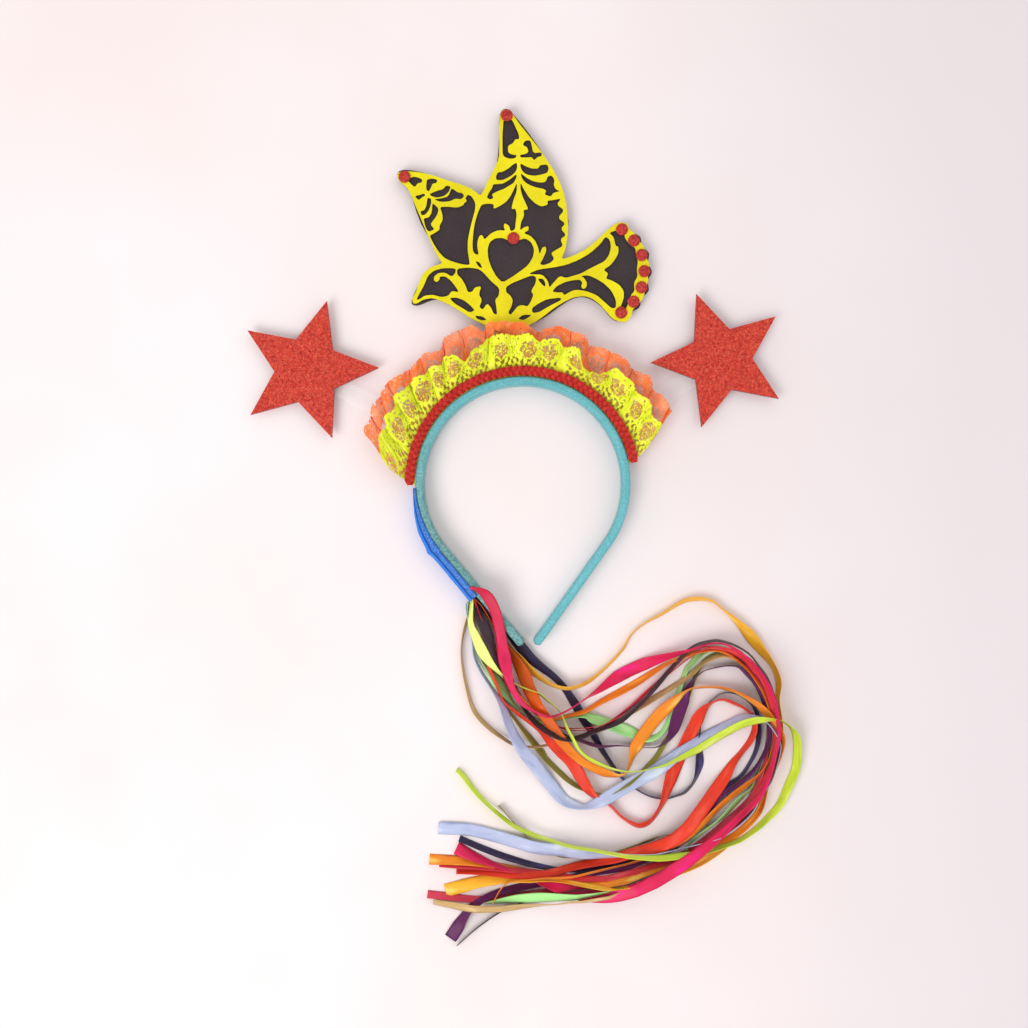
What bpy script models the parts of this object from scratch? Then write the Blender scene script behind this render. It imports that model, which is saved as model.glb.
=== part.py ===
"""A festive tiara that lies on its rear edge with its front up.

A satin-wrapped headband carries two gathered lace frills, a plaited trim, a pierced dove plate, two glitter
stars on clear stays, and a bundle of ribbon streamers glued under a strip on its left leg.
Metres, +Z up out of the table, +Y towards the crown of the headband.
"""

import math
from collections import namedtuple

import bmesh
import bpy
from mathutils import Matrix, Vector
from mathutils.geometry import delaunay_2d_cdt

MM = 0.001
GAP = 0.3 * MM  # clearance between pieces that touch

# Headband: an arc with a straight leg at each end, its centre line measured at the middle of the wall
BAND_RADIUS = 54.9 * MM
BAND_THICKNESS = 4.6 * MM
BAND_WIDTH = 12 * MM
BAND_OVERRUN = math.radians(37.6)  # how far the arc runs on past each side
LEG_LENGTH = 65.8 * MM
BAND_ROUNDING = 1.3 * MM
ARC_FACETS = 41  # odd, so that one facet lies square across the crown
BAND_OUTER = BAND_RADIUS + BAND_THICKNESS / 2
HALF_ARC = math.pi / 2 + BAND_OVERRUN
HALF_ARC_LENGTH = HALF_ARC * BAND_RADIUS

# Dove: lengths in its tables are hundredths of its length, from the middle of its breast
DOVE_LENGTH = 135.6 * MM
DOVE_ASIDE = -3.4 * MM  # the middle of the breast, from the centre of the arc
DOVE_RISE = 83.8 * MM
DOVE_TURN = math.radians(-2.2)
DOVE_REAR = 3.0 * MM  # height of its rear face over the table
BACKING_THICKNESS = 2.4 * MM
FRET_THICKNESS = 1.0 * MM
FRET_MARGIN = 0.45 * MM  # black edge that shows round the pierced layer
FRET_RIM = 1.7 * MM  # width of the pierced layer's rim
FOOT_WIDTH = 17 * MM
DOT_RADIUS = 3.2 * MM
DOT_THICKNESS = 0.8 * MM
DOT_SIDES = 12
TAIL_DOTS = 7
TAIL_CENTRE = (33.3, 22.4)
TAIL_RADIUS = 19.4  # of the arc on which the tail's dots sit
TAIL_TOP = math.radians(57)
TAIL_BOTTOM = math.radians(-58)
DOVE_FACE = DOVE_REAR + BACKING_THICKNESS + GAP + FRET_THICKNESS

# Stars and their stays
STAR_LEFT_RADIUS = 38.5 * MM
STAR_RIGHT_RADIUS = 37.5 * MM
STAR_NOTCH = 0.455  # radius of the inner corners, as a share
STAR_THICKNESS = 2 * MM
STAR_BEARING = math.radians(60)  # from the crown, to each side
STAR_LEFT_DISTANCE = 130.5 * MM  # from the centre of the arc
STAR_RIGHT_DISTANCE = 125 * MM
STAY_WIDTH = 10 * MM
STAY_THICKNESS = 0.6 * MM
STAY_PAST_CENTRE = 6 * MM
STAY_REAR = 3.4 * MM

# Lace frills: gathered strips that stand out from the band's outer face, both with the same folds so that they nest
LACE_THICKNESS = 1.0 * MM
LACE_FOLDS = 13
LACE_COLUMNS_PER_FOLD = 5
LACE_FLAT = 6.5 * MM  # how far out they lie flat, under the trim
LACE_FRONT_REACH = 23.5 * MM
LACE_BACK_REACH = 32 * MM
LACE_FRONT_RISE = 7.4 * MM  # how high the mean of the folds climbs over the whole reach of the rear frill
LACE_BACK_RISE = 3.3 * MM
LACE_SWING = 2.4 * MM  # half the height of a fold there
LACE_LEFT = 178.5  # bearing of the left end at the band, in degrees, and how far it leans in at the full reach
LACE_LEFT_LEAN = 17
LACE_RIGHT = 9
LACE_RIGHT_LEAN = 12
LACE_WANDER = 1.3 * MM  # unevenness of the outer edges
LACE_BACK_Z = DOVE_FACE + GAP + LACE_THICKNESS / 2
LACE_FRONT_Z = LACE_BACK_Z + LACE_THICKNESS + 1.2 * GAP

# Plaited trim
BRAID_WIDTH = 5.4 * MM
BRAID_THICKNESS = 2.6 * MM
BRAID_LEFT = math.radians(88.5)  # where it ends, from the crown
BRAID_RIGHT = math.radians(81.5)
BRAID_LOOPS = 47
BRAID_NIP = 0.8  # its width between two loops, as a share
BRAID_Z = LACE_FRONT_Z + LACE_THICKNESS / 2 + GAP

# Strip over the glued ribbon ends, on the outer face of the left leg
HOLDER_START = math.radians(90) * BAND_RADIUS  # along the band from the crown
HOLDER_LENGTH = 66 * MM
HOLDER_THICKNESS = 1.2 * MM
HOLDER_WIDTH = 11 * MM
HOLDER_SWELL = 2.4 * MM  # how far the ribbon ends lift its lower end
HOLDER_STEPS = 10
HEAD_START = 0.4  # where the glued ribbon ends begin, as a share of the strip's length
HEAD_WIDTH = 9 * MM
HEAD_TAIL = 5 * MM  # how far the glued ends stand out below the strip
HEAD_HUMP = 2 * MM  # how far they stand over the band's front edge there

# Ribbons
RIBBON_WIDTH = 7 * MM
RIBBON_THICKNESS = 1.0 * MM
RIBBON_STEP = 16 * MM
RIBBON_AIR = 0.4 * MM  # between ribbons that cross
RIBBON_SLOPE = 0.45  # the steepest it climbs or falls
ROOT_LENGTH = 30 * MM  # the ribbons are matted together this far from the glued ends
ROOT_WIDTH = 1.3 * MM
ROOT_LOW = 2.0 * MM
ROOT_HIGH = 8.5 * MM
ROOT_STAGGER = 0.09 * MM  # from one ribbon's edge to the next at the glued ends
SETTLE_CELL = 1.75 * MM  # of the height map on which the ribbons settle
ROUTE_UNIT = 100 * MM  # the points of the ribbons' routes are hundredths of this length
HURDLE_ABOVE_LEG = 30 * MM  # how far up the arc the leg still lifts the ribbon that crosses it

OutlinePoint = namedtuple("OutlinePoint", "u v corner")
WING_AND_BACK = (
    OutlinePoint(-4.2, 84.6, False),
    OutlinePoint(-1.8, 86.6, False),
    OutlinePoint(1.2, 84.3, False),
    OutlinePoint(9.7, 73.4, False),
    OutlinePoint(18.5, 58.3, False),
    OutlinePoint(22.9, 42.0, False),
    OutlinePoint(19.7, 26.3, True),
    OutlinePoint(30.6, 31.8, False),
    OutlinePoint(39.6, 40.0, False),
)
TAIL_TO_BREAST = (
    OutlinePoint(39.8, 4.2, False),
    OutlinePoint(35.0, 9.6, False),
    OutlinePoint(29.0, 12.5, False),
    OutlinePoint(22.6, 10.9, False),
    OutlinePoint(13.0, 4.2, False),
)
BREAST_TO_WING = (
    OutlinePoint(-11.0, 2.0, False),
    OutlinePoint(-25.7, 10.3, False),
    OutlinePoint(-30.5, 11.4, False),
    OutlinePoint(-36.6, 9.2, False),
    OutlinePoint(-39.1, 10.8, False),
    OutlinePoint(-34.2, 20.3, False),
    OutlinePoint(-25.9, 25.8, True),
    OutlinePoint(-35.4, 41.4, False),
    OutlinePoint(-39.9, 54.0, False),
    OutlinePoint(-44.6, 59.3, False),
    OutlinePoint(-42.4, 62.5, False),
    OutlinePoint(-29.8, 60.0, False),
    OutlinePoint(-11.7, 51.5, True),
    OutlinePoint(-6.0, 63.0, False),
    OutlinePoint(-4.5, 75.0, False),
)

# A stroke of the pierced layer runs on an arc from one point to another, bulging to its left by the given share
# of its length. Its widths are at its start, middle and end.
Stroke = namedtuple("Stroke", "u0 v0 u1 v1 bulge start middle end")
WING_STROKES = (
    # line between the wings, and the lines along the back
    Stroke(-12.0, 51.2, -15.8, 24.0, -0.10, 2.6, 1.2, 1.6),
    Stroke(-27.0, 26.0, -9.0, 21.8, -0.05, 2.0, 1.6, 3.0),
    Stroke(-10.4, 26.8, -3.6, 15.4, 0.0, 3.6, 3.6, 2.2),
    Stroke(4.0, 20.8, 21.0, 26.2, -0.05, 3.4, 1.8, 3.0),
    Stroke(11.2, 29.6, 5.0, 19.9, 0.0, 2.4, 4.2, 3.4),
    # right edge and cup at the tip of the large wing
    Stroke(0.2, 84.0, 10.4, 70.8, 0.0, 3.6, 4.6, 2.0),
    Stroke(-0.9, 71.0, 6.1, 71.2, 0.05, 3.6, 4.8, 3.4),
    Stroke(3.6, 72.6, 6.2, 75.4, 0.0, 2.8, 2.2, 2.6),
    # stem and flame
    Stroke(2.0, 36.4, 3.9, 48.4, -0.06, 2.6, 1.4, 2.6),
    Stroke(3.9, 48.0, 3.3, 58.8, 0.0, 5.8, 3.6, 0.9),
    Stroke(5.2, 50.6, 6.8, 46.0, 0.08, 2.8, 2.0, 0.4),
    Stroke(2.4, 50.6, 0.7, 46.0, -0.08, 2.8, 2.0, 0.4),
    Stroke(3.3, 58.0, 3.0, 70.0, 0.0, 0.9, 0.9, 1.4),
    # branches right of the stem, the upper ones running into the rim
    Stroke(3.2, 66.6, 16.2, 64.6, -0.1, 1.0, 2.6, 4.6),
    Stroke(3.4, 62.0, 17.4, 59.8, -0.2, 0.6, 1.0, 2.6),
    Stroke(3.6, 58.2, 14.3, 48.5, 0.08, 0.7, 3.4, 0.4),
    Stroke(9.2, 53.6, 13.9, 54.4, -0.1, 2.4, 1.8, 0.4),
    Stroke(11.4, 51.4, 20.6, 52.4, 0.05, 1.0, 0.8, 1.4),
    # branches left of the stem
    Stroke(3.0, 66.8, -6.6, 63.0, 0.06, 1.0, 3.2, 7.0),
    Stroke(2.8, 62.0, -8.4, 56.4, 0.18, 0.6, 1.0, 2.6),
    Stroke(2.8, 58.2, -6.6, 47.2, -0.08, 0.7, 3.2, 0.4),
    Stroke(-2.6, 52.6, -8.2, 51.6, 0.1, 2.2, 1.6, 0.4),
    Stroke(-5.0, 49.8, -12.0, 50.2, 0.05, 0.9, 0.8, 1.6),
    # small wing: its upper edge, and the sprig whose lines part the windows
    Stroke(-44.0, 59.6, -11.0, 51.8, 0.09, 4.4, 3.0, 2.8),
    Stroke(-33.0, 52.3, -34.8, 59.2, 0.0, 1.2, 2.2, 3.2),
    Stroke(-33.0, 52.3, -27.4, 57.6, 0.0, 0.8, 2.0, 3.6),
    Stroke(-32.0, 52.0, -22.6, 56.0, -0.2, 0.6, 0.9, 2.2),
    Stroke(-31.2, 51.4, -17.9, 48.5, -0.1, 0.6, 2.4, 0.6),
    Stroke(-19.4, 49.4, -15.6, 53.2, -0.1, 1.4, 1.0, 1.8),
    Stroke(-33.0, 52.4, -40.2, 54.0, 0.0, 1.0, 1.6, 3.2),
    Stroke(-33.0, 52.2, -37.6, 47.6, 0.0, 1.0, 2.6, 4.2),
    Stroke(-32.6, 51.6, -35.2, 42.6, 0.3, 0.6, 1.1, 2.4),
    Stroke(-31.2, 51.2, -28.2, 38.6, 0.14, 0.8, 1.8, 0.6),
    Stroke(-28.0, 42.6, -31.0, 40.8, 0.0, 2.8, 1.8, 0.4),
    Stroke(-28.4, 39.4, -33.4, 36.6, 0.05, 1.0, 0.8, 1.4),
)
BODY_STROKES = (
    # bell at the breast, its neck up to the point of the heart
    Stroke(-2.9, 19.0, -3.2, 12.2, 0.0, 2.6, 1.9, 2.6),
    Stroke(-3.1, 12.6, -3.1, 0.8, 0.0, 4.6, 6.2, 9.6),
    Stroke(-6.9, 10.4, 0.6, 10.4, 0.0, 1.0, 2.8, 1.0),
    # leaves at each side of the bell
    Stroke(-6.6, 2.0, -9.3, 9.8, 0.1, 4.4, 3.0, 0.4),
    Stroke(0.6, 2.0, 3.8, 9.0, -0.1, 4.4, 2.8, 0.4),
    # leaf and scroll towards the head
    Stroke(-12.6, 3.6, -16.4, 13.6, 0.06, 1.4, 4.8, 3.6),
    Stroke(-15.4, 13.4, -11.6, 16.2, 0.05, 2.8, 2.0, 0.4),
    Stroke(-15.0, 11.6, -11.6, 12.0, 0.05, 2.8, 2.0, 0.4),
    Stroke(-15.0, 12.8, -28.0, 11.6, -0.12, 2.6, 1.6, 1.4),
    Stroke(-16.6, 12.6, -21.4, 24.6, -0.08, 3.6, 2.0, 0.7),
    Stroke(-18.2, 14.2, -28.6, 18.6, -0.32, 1.8, 0.8, 1.0),
    Stroke(-28.2, 18.9, -29.8, 18.3, 0.0, 1.0, 1.9, 1.0),
    # leaf and scrolls towards the tail
    Stroke(7.0, 5.8, 12.6, 14.4, -0.04, 1.4, 5.0, 3.6),
    Stroke(11.4, 13.0, 10.4, 18.0, 0.05, 3.2, 2.2, 0.4),
    Stroke(10.8, 12.4, 8.2, 15.6, 0.05, 3.0, 2.0, 0.4),
    Stroke(12.0, 12.4, 22.4, 12.4, 0.08, 2.6, 1.4, 1.6),
    Stroke(-1.6, 16.6, 9.6, 20.9, 0.04, 2.4, 1.5, 1.0),
    Stroke(9.2, 20.8, 14.4, 14.8, 0.34, 1.0, 0.9, 1.8),
    Stroke(12.6, 13.8, 22.2, 19.6, 0.1, 2.2, 2.8, 0.9),
    Stroke(20.6, 18.8, 31.6, 21.4, 0.03, 1.2, 0.9, 1.0),
    Stroke(26.4, 20.0, 29.2, 16.6, 0.4, 0.8, 0.8, 1.0),
    Stroke(29.4, 16.9, 28.2, 15.4, 0.0, 1.0, 1.9, 1.0),
    Stroke(30.2, 20.9, 38.9, 21.2, 0.0, 0.8, 4.8, 0.6),
    Stroke(35.6, 22.6, 38.2, 36.8, -0.32, 3.2, 2.0, 1.4),
    Stroke(35.6, 19.8, 40.8, 5.8, 0.32, 3.2, 2.2, 1.4),
)
# Teeth inside the right edge of the large wing: the tip, and the middle of the base on the rim
Tooth = namedtuple("Tooth", "tip_u tip_v base_u base_v width")
WING_TEETH = (
    Tooth(18.0, 49.4, 21.9, 47.6, 3.6),
    Tooth(18.4, 44.6, 22.4, 42.8, 3.6),
    Tooth(18.9, 40.2, 22.6, 38.4, 3.6),
    Tooth(19.2, 36.3, 22.4, 34.6, 3.6),
    Tooth(18.7, 32.5, 21.8, 30.8, 3.4),
    Tooth(15.8, 29.0, 20.2, 26.6, 4.6),
)
# Short buds on the heart: foot, tip and width
HEART_BUDS = (
    Stroke(-0.2, 36.2, -2.2, 41.0, 0.1, 2.0, 2.0, 0.7),
    Stroke(3.8, 36.6, 6.9, 39.8, 0.1, 2.0, 1.8, 0.7),
    Stroke(-9.4, 23.4, -11.9, 36.2, -0.04, 5.4, 3.0, 0.7),
    Stroke(9.6, 26.6, 13.4, 31.8, 0.05, 2.6, 2.0, 0.7),
)
HEART_CENTRE = (0.1, 27.2)
HEART_WIDTH = 18.6
HEART_STRETCH = 1.07  # its height against that of the plain curve
HEART_TURN = math.radians(-12)
HEART_RIM = 1.8
HEART_STEPS = 28
SINGLE_DOTS = (("wing_big", -1.5, 83.6), ("wing_small", -41.8, 59.4), ("heart", 1.1, 35.2))
STROKE_STEPS = 4
OUTLINE_STEPS = 3

# A ribbon's way in route units: right of and below the lower end of the strip that holds it. It drops to its
# first point, crosses at the heights given for the stations, turns at its farthest point, comes back at the
# heights given for the return stations, and ends at its tip. The list runs from the lowest ribbon to the top one.
OUT_STATIONS = (32, 48, 64, 80, 96, 112, 128, 144)
BACK_STATIONS = (144, 120, 96, 48, 16)
Ribbon = namedtuple("Ribbon", "name drop out bend back tip")
RIBBONS = (
    Ribbon("beige", (-6, 38), (79, 77, 73, 66, 55, 46, 33, 33), (163, 62), (112, 131, 144, 161, 163), (-20, 164)),
    Ribbon("pale_blue", (4, 38), (85, 104, 111, 103, 94, 82, 71, 64), (165, 78), (118, 128, 136, 134, 128), (-17, 124)),
    Ribbon("navy", (9, 21), (39, 49, 69, 94, 106, 104, 58, 51), (156, 74), (92, 122, 137, 141, 136), (-6, 129)),
    Ribbon("golden", (12, 23), (37, 46, 44, 31, 12, 4, 1, 13), (167, 58), (124, 136, 146, 157, 157), (-13, 157)),
    Ribbon("black", (11, 25), (63, 73, 72, 63, 48, 33, 23, 25), (166, 61), (117, 137, 149, 160, 175), (-8, 187)),
    Ribbon("red_orange", (14, 48), (66, 79, 101, 116, 121, 88, 56, 56), (154, 72), (85, 113, 139, 145, 144), (-17, 143)),
    Ribbon("purple", (9, 21), (54, 73, 78, 78, 79, 67, 37, 36), (162, 72), (94, 121, 138, 156, 164), (-11, 183)),
    Ribbon("lime", (4, 21), (47, 59, 83, 90, 90, 83, 76, 67), (176, 82), (125, 133, 135, 134, 119), (-8, 92)),
    Ribbon("orange", (12, 24), (49, 72, 89, 93, 68, 50, 46, 48), (167, 73), (121, 134, 142, 148, 144), (-23, 140)),
    Ribbon("hot_pink", (16, 15), (59, 60, 52, 43, 35, 28, 23, 25), (164, 54), (119, 134, 145, 155, 143), (-8, 134)),
)
OVER_THE_LEG = "hot_pink"


def clear_scene():
    for thing in list(bpy.data.objects):
        bpy.data.objects.remove(thing, do_unlink=True)


def make_material(name, colour, roughness, alpha=1.0):
    material = bpy.data.materials.new(name)
    material.use_nodes = True
    shader = material.node_tree.nodes["Principled BSDF"]
    shader.inputs["Base Color"].default_value = (*colour, 1.0)
    shader.inputs["Roughness"].default_value = roughness
    shader.inputs["Metallic"].default_value = 0.0
    shader.inputs["Alpha"].default_value = alpha
    return material


def add_object(name, data, material, root):
    thing = bpy.data.objects.new(name, data)
    thing.data.materials.append(material)
    thing.parent = root
    bpy.data.collections["tiara"].objects.link(thing)
    return thing


def along_band(distance, offset=0.0):
    """A point beside the band's centre line and the outward normal there.

    The distance runs from the crown, positive down the left side.
    """
    side = 1 if distance >= 0 else -1
    turn = min(abs(distance) / BAND_RADIUS, HALF_ARC)
    straight = max(abs(distance) - HALF_ARC_LENGTH, 0.0)
    normal = Vector((-side * math.sin(turn), math.cos(turn)))
    onward = Vector((-side * math.cos(turn), -math.sin(turn)))
    return normal * (BAND_RADIUS + offset) + onward * straight, normal


def polar(radius, bearing):
    """A point at a radius from the centre of the arc, its bearing in radians from +X."""
    return Vector((radius * math.cos(bearing), radius * math.sin(bearing)))


def curve_through(points, corners, steps, closed):
    """Points on a smooth curve through the given ones, which breaks at the corners."""
    count = len(points)
    spans = count if closed else count - 1
    result = []
    for i in range(spans):
        here = points[i]
        there = points[(i + 1) % count]
        before = points[i - 1] if (i > 0 or closed) and not corners[i] else here
        last = i + 2 >= count and not closed
        after = there if last or corners[(i + 1) % count] else points[(i + 2) % count]
        for k in range(steps):
            t = k / steps
            pull_here = (there - before) / 2
            pull_there = (after - here) / 2
            result.append(
                here * (2 * t**3 - 3 * t**2 + 1)
                + pull_here * (t**3 - 2 * t**2 + t)
                + there * (3 * t**2 - 2 * t**3)
                + pull_there * (t**3 - t**2)
            )
    if not closed:
        result.append(points[-1])
    return result


def even_steps(points, step):
    """The same way, with points a given step apart."""
    lengths = [0.0]
    for a, b in zip(points, points[1:]):
        lengths.append(lengths[-1] + (b - a).length)
    count = max(2, round(lengths[-1] / step))
    result = []
    k = 0
    for i in range(count + 1):
        want = lengths[-1] * i / count
        while k < len(points) - 2 and lengths[k + 1] < want:
            k += 1
        share = (want - lengths[k]) / max(lengths[k + 1] - lengths[k], 1e-9)
        result.append(points[k].lerp(points[k + 1], min(share, 1.0)))
    return result


def mesh_from(name, build, triangles=False, sharp_over=None):
    """A mesh that the given function fills in, shaded smooth below the given angle."""
    work = bmesh.new()
    build(work)
    bmesh.ops.recalc_face_normals(work, faces=work.faces)
    if triangles:
        bmesh.ops.triangulate(work, faces=work.faces)
    mesh = bpy.data.meshes.new(name)
    work.to_mesh(mesh)
    work.free()
    if sharp_over:
        mesh.shade_smooth()
        mesh.set_sharp_from_angle(angle=sharp_over)
    return mesh


def loft_mesh(name, rings, triangles=False):
    """A closed tube through rings of points, with flat ends."""

    def build(work):
        rows = [[work.verts.new(p) for p in ring] for ring in rings]
        for low, high in zip(rows, rows[1:]):
            for k in range(len(low)):
                nxt = (k + 1) % len(low)
                work.faces.new((low[k], low[nxt], high[nxt], high[k]))
        work.faces.new(rows[0])
        work.faces.new(rows[-1])

    return mesh_from(name, build, triangles)


def add_solidify(thing, thickness, offset):
    shell = thing.modifiers.new("thickness", "SOLIDIFY")
    shell.thickness = thickness
    shell.offset = offset
    shell.use_even_offset = True


def add_plate(name, outline, rear, thickness, material, root):
    """A flat plate cut to an outline, its rear face the given height over the table."""
    curve = bpy.data.curves.new(name, "CURVE")
    curve.dimensions = "2D"
    curve.fill_mode = "BOTH"
    curve.extrude = thickness / 2
    spline = curve.splines.new("POLY")
    spline.points.add(len(outline) - 1)
    for spot, p in zip(spline.points, outline):
        spot.co = (p.x, p.y, 0, 1)
    spline.use_cyclic_u = True
    plate = add_object(name, curve, material, root)
    plate.location.z = rear + thickness / 2
    return plate


def add_band(material, root):
    """The headband: a standing wall along the centre line, thickened and rounded."""
    facet = HALF_ARC_LENGTH * 2 / ARC_FACETS
    stations = [-HALF_ARC_LENGTH + facet * i for i in range(ARC_FACETS + 1)]
    stations = [-HALF_ARC_LENGTH - LEG_LENGTH, *stations, HALF_ARC_LENGTH + LEG_LENGTH]

    def build(work):
        ends = []
        for distance in stations:
            spot, _ = along_band(distance)
            ends.append([work.verts.new((*spot, z)) for z in (0.0, BAND_WIDTH)])
        for a, b in zip(ends, ends[1:]):
            work.faces.new((a[0], b[0], b[1], a[1]))

    band = add_object("band", mesh_from("band", build), material, root)
    add_solidify(band, BAND_THICKNESS, 0.0)
    rounding = band.modifiers.new("rounding", "BEVEL")
    rounding.width = BAND_ROUNDING
    rounding.segments = 1
    rounding.limit_method = "ANGLE"
    rounding.angle_limit = math.radians(40)
    return band


def add_braid(material, root):
    """The plaited trim: a flat cord whose width swells at each loop."""
    middle = BAND_OUTER + GAP + BRAID_WIDTH / 2
    stations = BRAID_LOOPS * 2
    rings = []
    for i in range(stations + 1):
        bearing = math.pi / 2 + BRAID_LEFT - (BRAID_LEFT + BRAID_RIGHT) * i / stations
        half = BRAID_WIDTH / 2 * (BRAID_NIP if i % 2 == 0 else 1.0)
        profile = ((-0.6, 0), (-1, 0.5), (-0.5, 1), (0.5, 1), (1, 0.5), (0.6, 0))
        ring = []
        for across, up in profile:
            ring.append((*polar(middle + across * half, bearing), BRAID_Z + up * BRAID_THICKNESS))
        rings.append(ring)
    return add_object("braid_trim", loft_mesh("braid_trim", rings), material, root)


def lace_point(root_z, rise, along, out, wander):
    """A point of a frill: along its gathered edge from the left, from 0 to 1, and a distance out from it."""
    share = out / LACE_BACK_REACH
    left = math.radians(LACE_LEFT - LACE_LEFT_LEAN * share)
    right = math.radians(LACE_RIGHT + LACE_RIGHT_LEAN * share)
    phase = 2 * math.pi * LACE_FOLDS * along
    lift = max(out - LACE_FLAT, 0.0) / (LACE_BACK_REACH - LACE_FLAT)
    uneven = wander * (math.sin(2.3 * phase / LACE_FOLDS + 0.6) + 0.4 * math.cos(phase))
    spot = polar(BAND_OUTER + GAP + out + uneven, left + (right - left) * along)
    return (*spot, root_z + lift * (rise + LACE_SWING * math.sin(phase)))


def add_lace(name, outs, rise, root_z, material, root):
    """A frill with rows of points at the given distances out from the band."""
    columns = LACE_FOLDS * LACE_COLUMNS_PER_FOLD

    def build(work):
        grid = []
        for i in range(columns + 1):
            column = []
            for out in outs:
                wander = LACE_WANDER if out == outs[-1] else 0.0
                column.append(work.verts.new(lace_point(root_z, rise, i / columns, out, wander)))
            grid.append(column)
        for a, b in zip(grid, grid[1:]):
            for k in range(len(outs) - 1):
                work.faces.new((a[k], b[k], b[k + 1], a[k + 1]))

    frill = add_object(name, mesh_from(name, build, sharp_over=math.radians(60)), material, root)
    add_solidify(frill, LACE_THICKNESS, 0.0)
    return frill


def on_dove(u, v):
    """A point of the dove's plane from its place in hundredths of the dove's length."""
    turned = Matrix.Rotation(DOVE_TURN, 2) @ (Vector((u, v)) * DOVE_LENGTH / 100)
    return Vector((DOVE_ASIDE, DOVE_RISE)) + turned


def tail_dot(k):
    """The place of the k-th dot on the tail, in hundredths of the dove's length."""
    bearing = TAIL_TOP + (TAIL_BOTTOM - TAIL_TOP) * k / (TAIL_DOTS - 1)
    return (
        TAIL_CENTRE[0] + TAIL_RADIUS * math.cos(bearing),
        TAIL_CENTRE[1] + TAIL_RADIUS * math.sin(bearing),
        bearing,
    )


def tail_edge():
    """The scalloped edge of the tail: a bulge round each dot and a nick between two."""
    crest = (DOT_RADIUS + FRET_MARGIN + 0.6 * MM) / DOVE_LENGTH * 100
    edge = []
    for k in range(TAIL_DOTS):
        u, v, bearing = tail_dot(k)
        for lean in (50, 0, -50):
            way = bearing + math.radians(lean)
            edge.append(OutlinePoint(u + crest * math.cos(way), v + crest * math.sin(way), False))
        if k < TAIL_DOTS - 1:
            nick = (tail_dot(k)[2] + tail_dot(k + 1)[2]) / 2
            deep = TAIL_RADIUS + crest * 0.55
            nick_u = TAIL_CENTRE[0] + deep * math.cos(nick)
            nick_v = TAIL_CENTRE[1] + deep * math.sin(nick)
            edge.append(OutlinePoint(nick_u, nick_v, True))
    return tuple(edge)


def dove_outline(with_foot):
    """The dove's outline, closed at the breast by the foot that reaches the band or by a plain curve."""
    rows = [*WING_AND_BACK, *tail_edge(), *TAIL_TO_BREAST]
    points = [on_dove(row.u, row.v) for row in rows]
    corners = [row.corner for row in rows]
    if with_foot:
        for side in (1, -1):
            top = on_dove(side * FOOT_WIDTH / 2 / DOVE_LENGTH * 100, 1.6)
            reach = math.sqrt((BAND_OUTER + GAP) ** 2 - top.x**2)
            points.extend([top, Vector((top.x, reach))][::side])
            corners.extend([True, True])
            if side == 1:
                points.append(Vector(((top.x - FOOT_WIDTH / 2), BAND_OUTER + GAP)))
                corners.append(True)
    else:
        points.append(on_dove(0, 0.2))
        corners.append(False)
    points.extend(on_dove(row.u, row.v) for row in BREAST_TO_WING)
    corners.extend(row.corner for row in BREAST_TO_WING)
    return points, corners


def inset(points, depth):
    """A closed outline, given clockwise, moved inwards."""
    moved = []
    count = len(points)
    for i in range(count):
        before = (points[i] - points[i - 1]).normalized()
        after = (points[(i + 1) % count] - points[i]).normalized()
        inward_before = Vector((before.y, -before.x))
        inward_after = Vector((after.y, -after.x))
        mitre = inward_before + inward_after
        mitre.normalize()
        moved.append(points[i] + mitre * depth / max(mitre.dot(inward_after), 0.6))
    return moved


def band_quads(outer, inner):
    """Quads between two closed outlines with the same number of points."""
    count = len(outer)
    return [[outer[i], outer[(i + 1) % count], inner[(i + 1) % count], inner[i]] for i in range(count)]


def stroke_polygon(stroke):
    """The outline of one stroke of the pierced layer."""
    start = Vector((stroke.u0, stroke.v0))
    end = Vector((stroke.u1, stroke.v1))
    chord = end - start
    across = Vector((-chord.y, chord.x))
    left = []
    right = []
    for i in range(STROKE_STEPS + 1):
        t = i / STROKE_STEPS
        arch = 4 * t * (1 - t)
        middle = start + chord * t + across * stroke.bulge * arch
        heading = (chord + across * stroke.bulge * 4 * (1 - 2 * t)).normalized()
        ends = stroke.start * (1 - t) + stroke.end * t
        centre_share = stroke.middle - (stroke.start + stroke.end) / 2
        half = (ends + centre_share * arch) / 2
        normal = Vector((-heading.y, heading.x))
        left.append(on_dove(*(middle + normal * half)))
        right.append(on_dove(*(middle - normal * half)))
    return left + right[::-1]


def tooth_polygon(tooth):
    tip = Vector((tooth.tip_u, tooth.tip_v))
    base = Vector((tooth.base_u, tooth.base_v))
    out = (base - tip).normalized()
    across = Vector((-out.y, out.x)) * tooth.width / 2
    return [on_dove(*p) for p in (tip, base + across, base - across)]


def heart_outline(width):
    """A heart of the given width in hundredths of the dove's length, its point down."""
    points = []
    for i in range(HEART_STEPS):
        t = 2 * math.pi * (i + 0.5) / HEART_STEPS
        x = 16 * math.sin(t) ** 3
        y = 13 * math.cos(t) - 5 * math.cos(2 * t) - 2 * math.cos(3 * t) - math.cos(4 * t)
        local = Matrix.Rotation(HEART_TURN, 2) @ (Vector((x, (y + 2.5) * HEART_STRETCH)) * width / 32)
        points.append(on_dove(HEART_CENTRE[0] + local.x, HEART_CENTRE[1] + local.y))
    return points


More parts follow.
